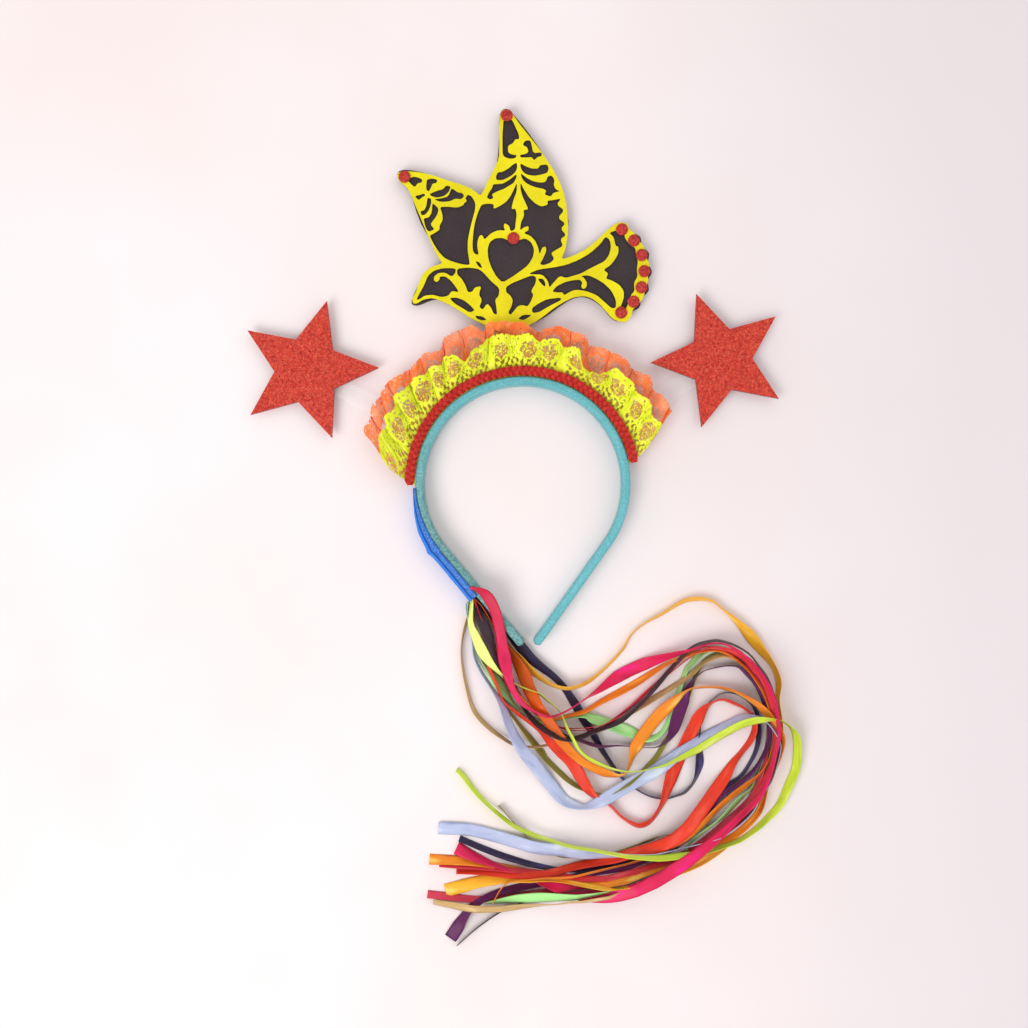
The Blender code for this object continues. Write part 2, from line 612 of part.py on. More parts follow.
def fret_polygons():
    """Every shape of the pierced layer: its whole field, then the rims, strokes, buds and teeth that stand."""
    points, corners = dove_outline(with_foot=False)
    outline = curve_through(points, corners, OUTLINE_STEPS, closed=True)
    outer = inset(outline, FRET_MARGIN)
    inner = inset(outline, FRET_MARGIN + FRET_RIM)
    shapes = [outer, *band_quads(outer, inner)]
    shapes += band_quads(heart_outline(HEART_WIDTH + 2 * HEART_RIM), heart_outline(HEART_WIDTH))
    shapes += [stroke_polygon(s) for s in (*WING_STROKES, *BODY_STROKES, *HEART_BUDS)]
    shapes += [tooth_polygon(t) for t in WING_TEETH]
    return shapes


def add_fretwork(material, root):
    """The pierced layer: its shapes merged in the plane, cut off at the edge of the field, then thickened."""
    corners = []
    faces = []
    for shape in fret_polygons():
        turning = sum(a.cross(b) for a, b in zip(shape, shape[1:] + shape[:1]))
        faces.append(list(range(len(corners), len(corners) + len(shape))))
        corners.extend(shape if turning > 0 else shape[::-1])
    merged = delaunay_2d_cdt([p / MM for p in corners], [], faces, 0, 0.02, True)
    spots, _, triangles, _, _, sources = merged

    def build(work):
        verts = [work.verts.new((p.x * MM, p.y * MM, 0)) for p in spots]
        for triangle, source in zip(triangles, sources):
            if 0 in source and len(source) > 1:
                work.faces.new([verts[k] for k in triangle])
        loose = [v for v in work.verts if not v.link_faces]
        bmesh.ops.delete(work, geom=loose, context="VERTS")
        bmesh.ops.dissolve_limit(work, angle_limit=math.radians(1), verts=work.verts, edges=work.edges)

    fret = add_object("dove_fretwork", mesh_from("dove_fretwork", build), material, root)
    fret.location.z = DOVE_FACE - FRET_THICKNESS / 2
    add_solidify(fret, FRET_THICKNESS, 0.0)
    return fret


def add_dots(material, root):
    places = [(f"dot_{name}", u, v) for name, u, v in SINGLE_DOTS]
    places += [(f"dot_tail_{k + 1}", *tail_dot(k)[:2]) for k in range(TAIL_DOTS)]
    for name, u, v in places:

        def build(work):
            bmesh.ops.create_cone(
                work,
                cap_ends=True,
                segments=DOT_SIDES,
                radius1=DOT_RADIUS,
                radius2=DOT_RADIUS,
                depth=DOT_THICKNESS,
            )

        dot = add_object(name, mesh_from(name, build, sharp_over=math.radians(40)), material, root)
        dot.location = (*on_dove(u, v), DOVE_FACE + GAP + DOT_THICKNESS / 2)


def add_stars(star_material, stay_material, root):
    """A star on each side, with one tip level towards the middle, and the clear stay behind it."""
    sides = (
        (-1, "left", STAR_LEFT_RADIUS, STAR_LEFT_DISTANCE),
        (1, "right", STAR_RIGHT_RADIUS, STAR_RIGHT_DISTANCE),
    )
    for side, name, radius, distance in sides:
        bearing = math.pi / 2 - side * STAR_BEARING
        centre = polar(distance, bearing)
        inward = math.pi if side > 0 else 0.0
        outline = []
        for k in range(10):
            reach = radius if k % 2 == 0 else radius * STAR_NOTCH
            outline.append(centre + polar(reach, inward - k * math.pi / 5))
        rear = STAY_REAR + STAY_THICKNESS + GAP
        add_plate(f"star_{name}", outline, rear, STAR_THICKNESS, star_material, root)

        out = polar(1.0, bearing)
        across = Vector((-out.y, out.x)) * STAY_WIDTH / 2
        near = math.sqrt((BAND_OUTER + GAP) ** 2 - (STAY_WIDTH / 2) ** 2)
        far = distance + STAY_PAST_CENTRE
        middle = out * (BAND_OUTER + GAP)
        stay = [out * near - across, middle, out * near + across, out * far + across, out * far - across]
        add_plate(f"stay_{name}", stay, STAY_REAR, STAY_THICKNESS, stay_material, root)


def holder_lift(share):
    """How far the ribbon ends lift the strip from the band, along its length from 0 to 1."""
    return HOLDER_SWELL * share * share * (3 - 2 * share)


def add_holder(material, root):
    """The strip over the ribbon ends: a standing wall beside the band."""

    def build(work):
        ends = []
        for i in range(HOLDER_STEPS + 1):
            share = i / HOLDER_STEPS
            offset = BAND_THICKNESS / 2 + GAP + HOLDER_THICKNESS / 2 + holder_lift(share)
            spot, _ = along_band(HOLDER_START + HOLDER_LENGTH * share, offset)
            low = (BAND_WIDTH - HOLDER_WIDTH) / 2
            ends.append([work.verts.new((*spot, z)) for z in (low, low + HOLDER_WIDTH)])
        for a, b in zip(ends, ends[1:]):
            work.faces.new((a[0], b[0], b[1], a[1]))

    holder = add_object("ribbon_holder", mesh_from("ribbon_holder", build), material, root)
    add_solidify(holder, HOLDER_THICKNESS, 0.0)
    return holder


def head_mesh():
    """The glued ribbon ends, a wedge between the band and the strip, with a hump below the strip."""
    rings = []
    shares = [HEAD_START + (1 - HEAD_START) * i / 4 for i in range(5)]
    distances = [HOLDER_START + HOLDER_LENGTH * share for share in shares]
    lifts = [holder_lift(share) for share in shares]
    tops = [HEAD_WIDTH] * 5
    end = distances[-1]
    distances += [end + GAP, end + HEAD_TAIL]
    lifts += [HOLDER_SWELL, HOLDER_SWELL]
    full = BAND_WIDTH + HEAD_HUMP - (BAND_WIDTH - HEAD_WIDTH) / 2
    tops += [full, full]
    low = (BAND_WIDTH - HEAD_WIDTH) / 2
    for distance, lift, top in zip(distances, lifts, tops):
        inside = BAND_THICKNESS / 2 + GAP
        near, _ = along_band(distance, inside)
        far, _ = along_band(distance, inside + max(lift - GAP, 2 * GAP))
        rings.append([(*near, low), (*far, low), (*far, low + top), (*near, low + top)])
    return loft_mesh("ribbon_head", rings)


def ribbon_exit():
    """Where the ribbons leave the glued ends, and the way they head there."""
    distance = HOLDER_START + HOLDER_LENGTH + HEAD_TAIL * 0.6
    offset = BAND_THICKNESS / 2 + GAP + HOLDER_SWELL / 2
    spot, _ = along_band(distance, offset)
    ahead, _ = along_band(distance + 1 * MM, offset)
    return spot, (ahead - spot).normalized()


def ribbon_way(ribbon, rank):
    """The ribbon's centre line on the table, at even steps."""
    start, heading = ribbon_exit()
    turned = Matrix.Rotation(DOVE_TURN, 2)

    def at(right, below):
        return start + turned @ (Vector((right, -below)) * ROUTE_UNIT / 100)

    aside = Vector((-heading.y, heading.x)) * ROOT_STAGGER * (rank - len(RIBBONS) / 2)
    points = [start - heading * HEAD_TAIL * 0.4 + aside, at(*ribbon.drop)]
    points += [at(x, y) for x, y in zip(OUT_STATIONS, ribbon.out)]
    points.append(at(*ribbon.bend))
    points += [at(x, y) for x, y in zip(BACK_STATIONS, ribbon.back)]
    points.append(at(*ribbon.tip))
    smooth = curve_through(points, [False] * len(points), 8, closed=False)
    return even_steps(smooth, RIBBON_STEP)


def cells_under(a, b, half):
    """The cells of the height map within half a width of the line between two points."""
    along = b - a
    across = Vector((-along.y, along.x)).normalized()
    count = max(1, math.ceil(along.length / SETTLE_CELL))
    sides = math.ceil(2 * half / SETTLE_CELL)
    found = set()
    for i in range(count + 1):
        for k in range(sides + 1):
            p = a + along * i / count + across * (-half + 2 * half * k / sides)
            found.add((round(p.x / SETTLE_CELL), round(p.y / SETTLE_CELL)))
    return found


def way_lengths(way):
    lengths = [0.0]
    for a, b in zip(way, way[1:]):
        lengths.append(lengths[-1] + (b - a).length)
    return lengths


def settle(way, root_length, floor, hurdle):
    """Heights of a ribbon's underside: it lies on what is there already and slopes gently."""
    lengths = way_lengths(way)
    heights = [0.0] * len(way)
    free = [i for i in range(len(way) - 1) if lengths[i + 1] > root_length]
    for i in free:
        under = cells_under(way[i], way[i + 1], RIBBON_WIDTH / 2 + SETTLE_CELL)
        support = max(max(floor.get(cell, 0.0), hurdle.get(cell, 0.0)) for cell in under)
        heights[i] = max(heights[i], support)
        heights[i + 1] = max(heights[i + 1], support)
    for i in range(1, len(way)):
        heights[i] = max(heights[i], heights[i - 1] - RIBBON_SLOPE * (lengths[i] - lengths[i - 1]))
    for i in range(len(way) - 2, -1, -1):
        heights[i] = max(heights[i], heights[i + 1] - RIBBON_SLOPE * (lengths[i + 1] - lengths[i]))
    for i in free:
        top = max(heights[i], heights[i + 1]) + RIBBON_THICKNESS + RIBBON_AIR
        for cell in cells_under(way[i], way[i + 1], RIBBON_WIDTH / 2):
            floor[cell] = max(floor.get(cell, 0.0), top)
    return heights


def ribbon_mesh(ribbon, rank, floor):
    """One ribbon: tall and narrow at the glued ends, as it leaves them on edge, then flat on those below."""
    over_leg = ribbon.name == OVER_THE_LEG
    way = ribbon_way(ribbon, rank)
    lengths = way_lengths(way)
    if over_leg:
        heights = settle(way, 0.0, floor, leg_cells())
    else:
        heights = settle(way, ROOT_LENGTH, floor, {})
    root_low = ROOT_LOW + ROOT_STAGGER * rank
    root_high = ROOT_HIGH + ROOT_STAGGER * rank * 2
    root_width = ROOT_WIDTH + ROOT_STAGGER * rank / 2
    rings = []
    for i, spot in enumerate(way):
        ahead = way[min(i + 1, len(way) - 1)] - way[max(i - 1, 0)]
        across = Vector((-ahead.y, ahead.x)).normalized()
        flat = 1.0 if over_leg else min(lengths[i] / ROOT_LENGTH, 1.0)
        half = (root_width + (RIBBON_WIDTH - root_width) * flat) / 2
        low = root_low + (heights[i] - root_low) * flat
        high = root_high + (heights[i] + RIBBON_THICKNESS - root_high) * flat
        left = spot + across * half
        right = spot - across * half
        rings.append([(*right, low), (*left, low), (*left, high), (*right, high)])
    return loft_mesh(ribbon.name, rings, triangles=True)


def leg_cells():
    """The band's left leg as cells of a height map."""
    near, _ = along_band(HALF_ARC_LENGTH - HURDLE_ABOVE_LEG)
    middle, _ = along_band(HALF_ARC_LENGTH)
    far, _ = along_band(HALF_ARC_LENGTH + LEG_LENGTH)
    covered = cells_under(near, middle, BAND_THICKNESS / 2) | cells_under(middle, far, BAND_THICKNESS / 2)
    return dict.fromkeys(covered, BAND_WIDTH + GAP)


def add_streamers(material, root):
    """The glued ends and all the ribbons, joined into one body."""
    floor = {}
    guides = bpy.data.collections["guides"]
    streamers = add_object("ribbon_streamers", head_mesh(), material, root)
    for rank, ribbon in enumerate(RIBBONS):
        strip = bpy.data.objects.new(f"guide_{ribbon.name}", ribbon_mesh(ribbon, rank, floor))
        strip.hide_render = True
        strip.display_type = "WIRE"
        strip.parent = root
        guides.objects.link(strip)
        union = streamers.modifiers.new(ribbon.name, "BOOLEAN")
        union.operation = "UNION"
        union.solver = "EXACT"
        union.object = strip
    return streamers


def centre_on_table(root):
    """Move everything so that the middle of its footprint is at the origin and its lowest point at zero."""
    bpy.context.view_layer.update()
    built = bpy.context.evaluated_depsgraph_get()
    corners = []
    for thing in bpy.data.collections["tiara"].objects:
        if thing is not root:
            solid = thing.evaluated_get(built)
            corners.extend(solid.matrix_world @ vertex.co for vertex in solid.to_mesh().vertices)
    for axis in range(2):
        values = [corner[axis] for corner in corners]
        root.location[axis] = -(min(values) + max(values)) / 2
    root.location.z = -min(corner.z for corner in corners)


def main():
    clear_scene()
    for name in ("tiara", "guides"):
        bpy.context.scene.collection.children.link(bpy.data.collections.new(name))
    root = bpy.data.objects.new("tiara_origin", None)
    bpy.data.collections["tiara"].objects.link(root)
    satin = make_material("aqua_satin", (0.15, 0.56, 0.66), 0.4)
    braid = make_material("red_braid", (0.45, 0.02, 0.03), 0.6)
    yellow_lace = make_material("yellow_lace", (0.8, 1.0, 0.02), 0.7)
    orange_lace = make_material("orange_lace", (1.0, 0.22, 0.06), 0.7)
    backing = make_material("black_board", (0.05, 0.04, 0.045), 0.6)
    fret = make_material("yellow_board", (0.87, 0.78, 0.0), 0.5)
    glitter = make_material("red_glitter", (0.6, 0.03, 0.02), 0.35)
    clear = make_material("clear_film", (0.95, 0.95, 0.95), 0.1, alpha=0.25)
    blue = make_material("blue_strip", (0.02, 0.22, 0.75), 0.5)
    ribbon = make_material("ribbon_satin", (0.9, 0.3, 0.1), 0.35)

    add_band(satin, root)
    add_braid(braid, root)
    back_rows = (0.0, LACE_FLAT, LACE_FRONT_REACH, LACE_BACK_REACH)
    add_lace("lace_back", back_rows, LACE_BACK_RISE, LACE_BACK_Z, orange_lace, root)
    front_rows = (0.0, LACE_FLAT, LACE_FRONT_REACH)
    add_lace("lace_front", front_rows, LACE_FRONT_RISE, LACE_FRONT_Z, yellow_lace, root)
    points, corners = dove_outline(with_foot=True)
    outline = curve_through(points, corners, OUTLINE_STEPS, closed=True)
    add_plate("dove_backing", outline, DOVE_REAR, BACKING_THICKNESS, backing, root)
    add_fretwork(fret, root)
    add_dots(glitter, root)
    add_stars(glitter, clear, root)
    add_holder(blue, root)
    add_streamers(ribbon, root)
    centre_on_table(root)


main()
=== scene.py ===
import math

import bpy
from mathutils import Matrix, Vector, noise


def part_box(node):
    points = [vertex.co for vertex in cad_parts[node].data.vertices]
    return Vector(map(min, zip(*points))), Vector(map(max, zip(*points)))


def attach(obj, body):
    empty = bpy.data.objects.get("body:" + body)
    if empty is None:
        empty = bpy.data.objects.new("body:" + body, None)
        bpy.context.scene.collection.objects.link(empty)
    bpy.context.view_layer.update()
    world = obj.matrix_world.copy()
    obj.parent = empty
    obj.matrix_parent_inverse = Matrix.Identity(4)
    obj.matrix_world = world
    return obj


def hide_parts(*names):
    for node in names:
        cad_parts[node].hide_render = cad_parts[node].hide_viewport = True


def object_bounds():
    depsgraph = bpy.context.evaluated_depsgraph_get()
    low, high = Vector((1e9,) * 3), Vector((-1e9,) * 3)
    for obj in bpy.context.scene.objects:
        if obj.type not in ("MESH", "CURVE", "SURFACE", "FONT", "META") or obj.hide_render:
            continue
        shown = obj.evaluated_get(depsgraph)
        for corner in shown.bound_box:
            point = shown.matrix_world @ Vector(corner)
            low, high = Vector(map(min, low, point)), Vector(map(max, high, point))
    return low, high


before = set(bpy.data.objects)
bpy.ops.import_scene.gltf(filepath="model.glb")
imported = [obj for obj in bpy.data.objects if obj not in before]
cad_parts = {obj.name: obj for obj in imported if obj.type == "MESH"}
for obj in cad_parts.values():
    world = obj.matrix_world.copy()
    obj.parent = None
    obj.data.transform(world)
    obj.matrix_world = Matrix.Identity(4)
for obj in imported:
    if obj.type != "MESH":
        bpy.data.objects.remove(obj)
CAD_LOW, CAD_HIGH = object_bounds()
MM = 0.001

# The headband: an arc with two straight legs, standing on its rear edge
BAND_LOW, BAND_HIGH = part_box("band")
BAND_OUTER = 57.2 * MM
BAND_RADIUS = 54.9 * MM
BAND_THICKNESS = 4.6 * MM
BAND_WIDTH = 12 * MM
BAND_CORNER = 1.5 * MM
CROWN_RISE = 57.12 * MM
ARCH = Vector(((BAND_LOW.x + BAND_HIGH.x) / 2, BAND_HIGH.y - CROWN_RISE, 0.0))
HALF_ARC = math.pi / 2 + math.radians(37.6)
LEG_LENGTH = 65.8 * MM
BAND_HALF_LENGTH = HALF_ARC * BAND_RADIUS + LEG_LENGTH

# The photograph's camera: straight down from 650 mm, over this point, with 0.54 mm to a pixel on the floor
EYE_HEIGHT = 650 * MM
EYE_OVER = Vector((-5.35, -15.74)) * MM
EYE_TURN = math.radians(-2.18)
PIXEL = 0.54 * MM
PICTURE_SIZE = 1028
PICTURE_MIDDLE = PICTURE_SIZE / 2


def from_picture(px, py, height):
    """A point of the photograph at a height over the floor, in the frame's own coordinates."""
    size = PIXEL * (1 - height / EYE_HEIGHT)
    flat = Matrix.Rotation(EYE_TURN, 2) @ Vector(((px - PICTURE_MIDDLE) * size, (PICTURE_MIDDLE - py) * size))
    return Vector((ARCH.x + EYE_OVER.x + flat.x, ARCH.y + EYE_OVER.y + flat.y, height))


def srgb(code):
    """A linear colour from a hexadecimal one."""
    values = [int(code[i:i + 2], 16) / 255 for i in (0, 2, 4)]
    return tuple(v / 12.92 if v <= 0.04045 else ((v + 0.055) / 1.055) ** 2.4 for v in values)


# Meshes


def upright(height):
    return Vector((0, 0, height))


def make_mesh(name, verts, faces, uvs=None, smooth=True):
    """An object with a mesh; uvs holds one pair for each of its points."""
    mesh = bpy.data.meshes.new(name)
    mesh.from_pydata([tuple(v) for v in verts], [], faces)
    if uvs is not None:
        layer = mesh.uv_layers.new(name="UVMap")
        flat = []
        for loop in mesh.loops:
            flat.extend(uvs[loop.vertex_index])
        layer.data.foreach_set("uv", flat)
    mesh.polygons.foreach_set("use_smooth", [smooth] * len(mesh.polygons))
    mesh.validate()
    piece = bpy.data.objects.new(name, mesh)
    bpy.context.collection.objects.link(piece)
    return piece


def tube_faces(first, rings, sides, far_cap=True):
    """The faces of a closed tube whose points start at a number and go ring by ring."""
    faces = []
    for i in range(rings - 1):
        for k in range(sides):
            a, b = first + i * sides + k, first + i * sides + (k + 1) % sides
            faces.append((a, b, b + sides, a + sides))
    faces.append(tuple(range(first, first + sides))[::-1])
    if far_cap:
        last = first + (rings - 1) * sides
        faces.append(tuple(range(last, last + sides)))
    return faces


def loft(name, rings, material, around=None, lengths=None, smooth=True):
    """A closed tube through rings with the same number of points; its UV map goes around and along it."""
    count = len(rings[0])
    verts = [p for ring in rings for p in ring]
    around = around or [k / count for k in range(count)]
    lengths = lengths or [i / len(rings) for i in range(len(rings))]
    uvs = [(u, v) for v in lengths for u in around]
    piece = make_mesh(name, verts, tube_faces(0, len(rings), count), uvs, smooth)
    piece.data.materials.append(material)
    return piece


def polar(radius, bearing):
    """A point on the floor at a distance and bearing from the middle of the headband's arc."""
    return Vector((ARCH.x + radius * math.cos(bearing), ARCH.y + radius * math.sin(bearing), 0.0))


def along_band(distance, offset=0.0):
    """A point beside the band's centre line and its outward normal; the distance runs down the left side."""
    side = 1 if distance >= 0 else -1
    turn = min(abs(distance) / BAND_RADIUS, HALF_ARC)
    straight = max(abs(distance) - HALF_ARC * BAND_RADIUS, 0.0)
    normal = Vector((-side * math.sin(turn), math.cos(turn), 0.0))
    onward = Vector((-side * math.cos(turn), -math.sin(turn), 0.0))
    return ARCH + normal * (BAND_RADIUS + offset) + onward * straight, normal


def smoothstep(low, high, x):
    t = min(max((x - low) / (high - low), 0.0), 1.0)
    return t * t * (3 - 2 * t)


# Materials


class Shader:
    """A material and short ways to add nodes to it."""

    def __init__(self, name, base, roughness):
        self.material = bpy.data.materials.new(name)
        self.material.use_nodes = True
        self.tree = self.material.node_tree
        self.out = self.tree.nodes["Principled BSDF"]
        self.out.inputs["Base Color"].default_value = (*srgb(base), 1)
        self.out.inputs["Roughness"].default_value = roughness

    def set(self, name, value):
        self.out.inputs[name].default_value = value
        return self

    def node(self, kind, **settings):
        made = self.tree.nodes.new(kind)
        for key, value in settings.items():
            setattr(made, key, value)
        return made

    def feed(self, source, target):
        if isinstance(source, bpy.types.NodeSocket):
            self.tree.links.new(source, target)
        else:
            target.default_value = source

    def link(self, source, name):
        self.tree.links.new(source, self.out.inputs[name])

    def place(self, scale=(1, 1, 1), uv=False):
        coords = self.node("ShaderNodeTexCoord")
        mapping = self.node("ShaderNodeMapping")
        mapping.inputs["Scale"].default_value = scale
        self.tree.links.new(coords.outputs["UV" if uv else "Object"], mapping.inputs["Vector"])
        return mapping.outputs["Vector"]

    def noise(self, vector, scale, detail=3.0, roughness=0.55):
        made = self.node("ShaderNodeTexNoise")
        self.tree.links.new(vector, made.inputs["Vector"])
        made.inputs["Scale"].default_value = scale
        made.inputs["Detail"].default_value = detail
        made.inputs["Roughness"].default_value = roughness
        return made.outputs["Fac"]

    def cells(self, vector, scale):
        made = self.node("ShaderNodeTexVoronoi")
        self.tree.links.new(vector, made.inputs["Vector"])
        made.inputs["Scale"].default_value = scale
        return made.outputs

    def ramp(self, source, stops):
        """Colours or greys over the source's range."""
        made = self.node("ShaderNodeValToRGB")
        self.tree.links.new(source, made.inputs["Fac"])
        steps = made.color_ramp.elements
        while len(steps) < len(stops):
            steps.new(0.5)
        for step, (at, colour) in zip(steps, stops):
            step.position = at
            step.color = (*srgb(colour), 1) if isinstance(colour, str) else (colour, colour, colour, 1)
        return made.outputs["Color"]

    def mix(self, share, a, b):
        """The first colour where the share is 0, the second where it is 1."""
        made = self.node("ShaderNodeMix", data_type="RGBA")
        self.feed(share, made.inputs["Factor"])
        for value, socket in ((a, made.inputs[6]), (b, made.inputs[7])):
            self.feed((*srgb(value), 1) if isinstance(value, str) else value, socket)
        return made.outputs[2]

    def math(self, kind, a, b=0.0, c=0.5):
        """Arithmetic on up to three values; only MULTIPLY_ADD reads the last one."""
        made = self.node("ShaderNodeMath", operation=kind)
        for value, socket in zip((a, b, c), made.inputs):
            self.feed(value, socket)
        return made.outputs[0]

    def vector(self, kind, a, b, socket=1):
        """Arithmetic on two vectors, or on a vector and a number in the socket of that name."""
        made = self.node("ShaderNodeVectorMath", operation=kind)
        self.feed(a, made.inputs[0])
        self.feed(b, made.inputs[socket])
        return made.outputs[0]

    def split(self, vector):
        made = self.node("ShaderNodeSeparateXYZ")
        self.tree.links.new(vector, made.inputs[0])
        return made.outputs

    def bump(self, height, depth, strength=0.5):
        made = self.node("ShaderNodeBump")
        made.inputs["Strength"].default_value = strength
        made.inputs["Distance"].default_value = depth
        self.tree.links.new(height, made.inputs["Height"])
        self.link(made.outputs["Normal"], "Normal")


# The ribbons whose first stretch has another tone: its colour, and how far it goes in metres
ROOT_TONES = {
    "satin_orange": ("da5410", 0.085),
    "satin_hot_pink": ("c41c3e", 0.012),
    # The lime's pale first stretch is a painted highlight.
    "satin_lime": ("eefc90", 0.045),
}
# The ramp of such a stretch reads the length times the first value, and fades over the second
ROOT_SCALE, ROOT_FADE = 5, 0.15
# The woven edge starts at this share of the width from the middle; its loops turn by so many radians a metre
SELVAGE_START, PICOT_TURNS = 0.455, 7200.0


def satin(name, code, dark, light):
    """Satin ribbon: fine threads along its length, woven selvages, and painted highlights and shade that
    drift along it.

    Its UV map runs from 0 to 1 across and in metres along.
    """
    s = Shader(name, code, 0.38)
    across, along, _ = s.split(s.place(uv=True))
    threads = s.noise(s.place((60, 12, 1), uv=True), 6.0, 2.0)
    drift = s.noise(s.place((0.6, 26, 1), uv=True), 1.6, 2.0)
    # painted shade and painted satin highlights: the drift's dark and light stops
    tone = s.ramp(drift, ((0.34, dark), (0.47, code), (0.56, code), (0.68, light)))
    tone = s.mix(0.25, tone, s.ramp(threads, ((0.35, dark), (0.65, light))))
    from_middle = s.math("ABSOLUTE", s.math("SUBTRACT", across, 0.5))
    selvage = s.math("GREATER_THAN", from_middle, SELVAGE_START)
    picots = s.math("SINE", s.math("MULTIPLY", along, PICOT_TURNS))
    stitched = s.math("MULTIPLY", selvage, s.math("MULTIPLY_ADD", picots, 0.3, 0.5))
    tone = s.mix(s.math("MULTIPLY", selvage, 0.3), tone, dark)
    if name in ROOT_TONES:
        root, until = ROOT_TONES[name]
        fade = ((until * ROOT_SCALE, 0.85), (until * ROOT_SCALE + ROOT_FADE, 0.0))
        tone = s.mix(s.ramp(s.math("MULTIPLY", along, ROOT_SCALE), fade), tone, root)
    s.link(tone, "Base Color")
    s.set("Sheen Weight", 0.06).set("Anisotropic", 0.5).set("Specular IOR Level", 0.22)
    s.bump(s.math("ADD", threads, stitched), 0.06 * MM, 0.35)
    return s.material


def glitter(name, dark, base, bright, scale=1900.0, board_edge=None):
    """Glitter board: small flakes, each with its own tone and tilt; a given edge colour dyes the sides."""
    s = Shader(name, base, 0.4)
    s.set("Specular IOR Level", 0.3)
    spot = s.place()
    flakes = s.cells(spot, scale)
    value = s.split(flakes["Color"])[0]
    patch = s.split(s.cells(spot, scale * 0.45)["Color"])[1]
    tone = s.ramp(value, ((0.08, dark), (0.45, base), (0.8, base), (0.97, bright)))
    tone = s.mix(0.25, tone, s.ramp(patch, ((0.1, dark), (0.9, bright))))
    s.link(s.ramp(value, ((0.0, 0.55), (1.0, 0.22))), "Roughness")
    geometry = s.node("ShaderNodeNewGeometry")
    tilt = s.vector("SUBTRACT", flakes["Color"], (0.5, 0.5, 0.5))
    tilted = s.vector("ADD", geometry.outputs["Normal"], s.vector("SCALE", tilt, 0.75, "Scale"))
    s.link(s.vector("NORMALIZE", tilted, (0, 0, 0)), "Normal")
    if board_edge:
        tone = s.mix(faces_up(s), board_edge, tone)
    s.link(tone, "Base Color")
    return s.material


def faces_up(s):
    """1 where the surface faces up or down, 0 on its sides."""
    geometry = s.node("ShaderNodeNewGeometry")
    return s.math("GREATER_THAN", s.math("ABSOLUTE", s.split(geometry.outputs["True Normal"])[2]), 0.7)


def dress_node(name, material):
    """Gives a node of the CAD model a look and leaves its shape alone."""
    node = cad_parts[name]
    node.data.materials.clear()
    node.data.materials.append(material)


# Camera, light and floor


SENSOR_WIDTH = 36
FLOOR_HALF = 3.0


def add_camera():
    data = bpy.data.cameras.new("camera")
    data.sensor_width = SENSOR_WIDTH
    data.sensor_fit = "HORIZONTAL"
    data.lens = SENSOR_WIDTH * EYE_HEIGHT / (PICTURE_SIZE * PIXEL)
    data.clip_start = 0.01
    camera = bpy.data.objects.new("camera", data)
    bpy.context.collection.objects.link(camera)
    camera.location = (ARCH.x + EYE_OVER.x, ARCH.y + EYE_OVER.y, EYE_HEIGHT)
    camera.rotation_euler = (0, 0, EYE_TURN)
    bpy.context.scene.camera = camera
    bpy.context.scene.view_settings.view_transform = "Standard"


def add_floor():
    """A pale floor with painted shade that darkens it a little to the right."""
    corners = [(x * FLOOR_HALF, y * FLOOR_HALF, 0) for x, y in ((-1, -1), (1, -1), (1, 1), (-1, 1))]
    floor = make_mesh("floor", corners, [(0, 1, 2, 3)], smooth=False)
    s = Shader("pale_floor", "f3eaec", 0.85)
    spot = s.place()
    tone = s.ramp(s.noise(spot, 5.0, 3.0), ((0.35, "eee3e3"), (0.65, "f4ebed")))
    # painted shade: the floor grows darker toward the right
    painted_shade_right = s.ramp(s.math("MULTIPLY_ADD", s.split(spot)[0], 1.9, 0.5), ((0.5, 0.0), (0.95, 0.8)))
    s.link(s.mix(painted_shade_right, tone, "e0d8dc"), "Base Color")
    s.bump(s.noise(spot, 900.0, 2.0), 0.05 * MM, 0.15)
    floor.data.materials.append(s.material)


def add_lamp(name, place, size, power, colour):
    """A round lamp that shines at the middle of the floor."""
    data = bpy.data.lights.new(name, "AREA")
    data.shape = "DISK"
    data.size = size
    data.energy = power
    data.color = colour
    lamp = bpy.data.objects.new(name, data)
    bpy.context.collection.objects.link(lamp)
    lamp.location = place
    lamp.rotation_euler = (-Vector(place)).to_track_quat("-Z", "Y").to_euler()


def add_sky():
    world = bpy.data.worlds.new("world")
    bpy.context.scene.world = world
    world.use_nodes = True
    background = world.node_tree.nodes["Background"]
    background.inputs["Color"].default_value = (1.0, 0.975, 0.97, 1)
    background.inputs["Strength"].default_value = 0.765


# Headband and plaited trim


BAND_STATIONS = 360
END_ROUNDING = 2.2 * MM
CORNER_STEPS = 6
RIPPLE = 0.1 * MM
# The lap of the satin on the inner side, in millimetres along the right half, and its cord's radii
LAP_START, LAP_END = 40, 150
LAP_STATIONS, LAP_SIDES = 120, 6
LAP_HALF_DEPTH, LAP_HALF_HEIGHT = 0.22 * MM, 0.3 * MM


def band_ring(distance, scale):
    """A rounded section of the band, with a little unevenness of the wrapped satin."""
    middle, normal = along_band(distance)
    half, tall, corner = BAND_THICKNESS / 2 * scale, BAND_WIDTH / 2 * scale, BAND_CORNER * scale
    ring = []
    for quarter, (sx, sz) in enumerate(((1, -1), (1, 1), (-1, 1), (-1, -1))):
        for step in range(CORNER_STEPS):
            angle = math.radians(-90 + quarter * 90 + step * 90 / (CORNER_STEPS - 1))
            x = sx * (half - corner) + corner * math.cos(angle)
            z = sz * (tall - corner) + corner * math.sin(angle)
            ripple = noise.noise(Vector((distance * 90, x * 300, z * 200))) * RIPPLE
            ring.append(middle + normal * (x + ripple * math.cos(angle)) + upright(BAND_WIDTH / 2 + z))
    return ring


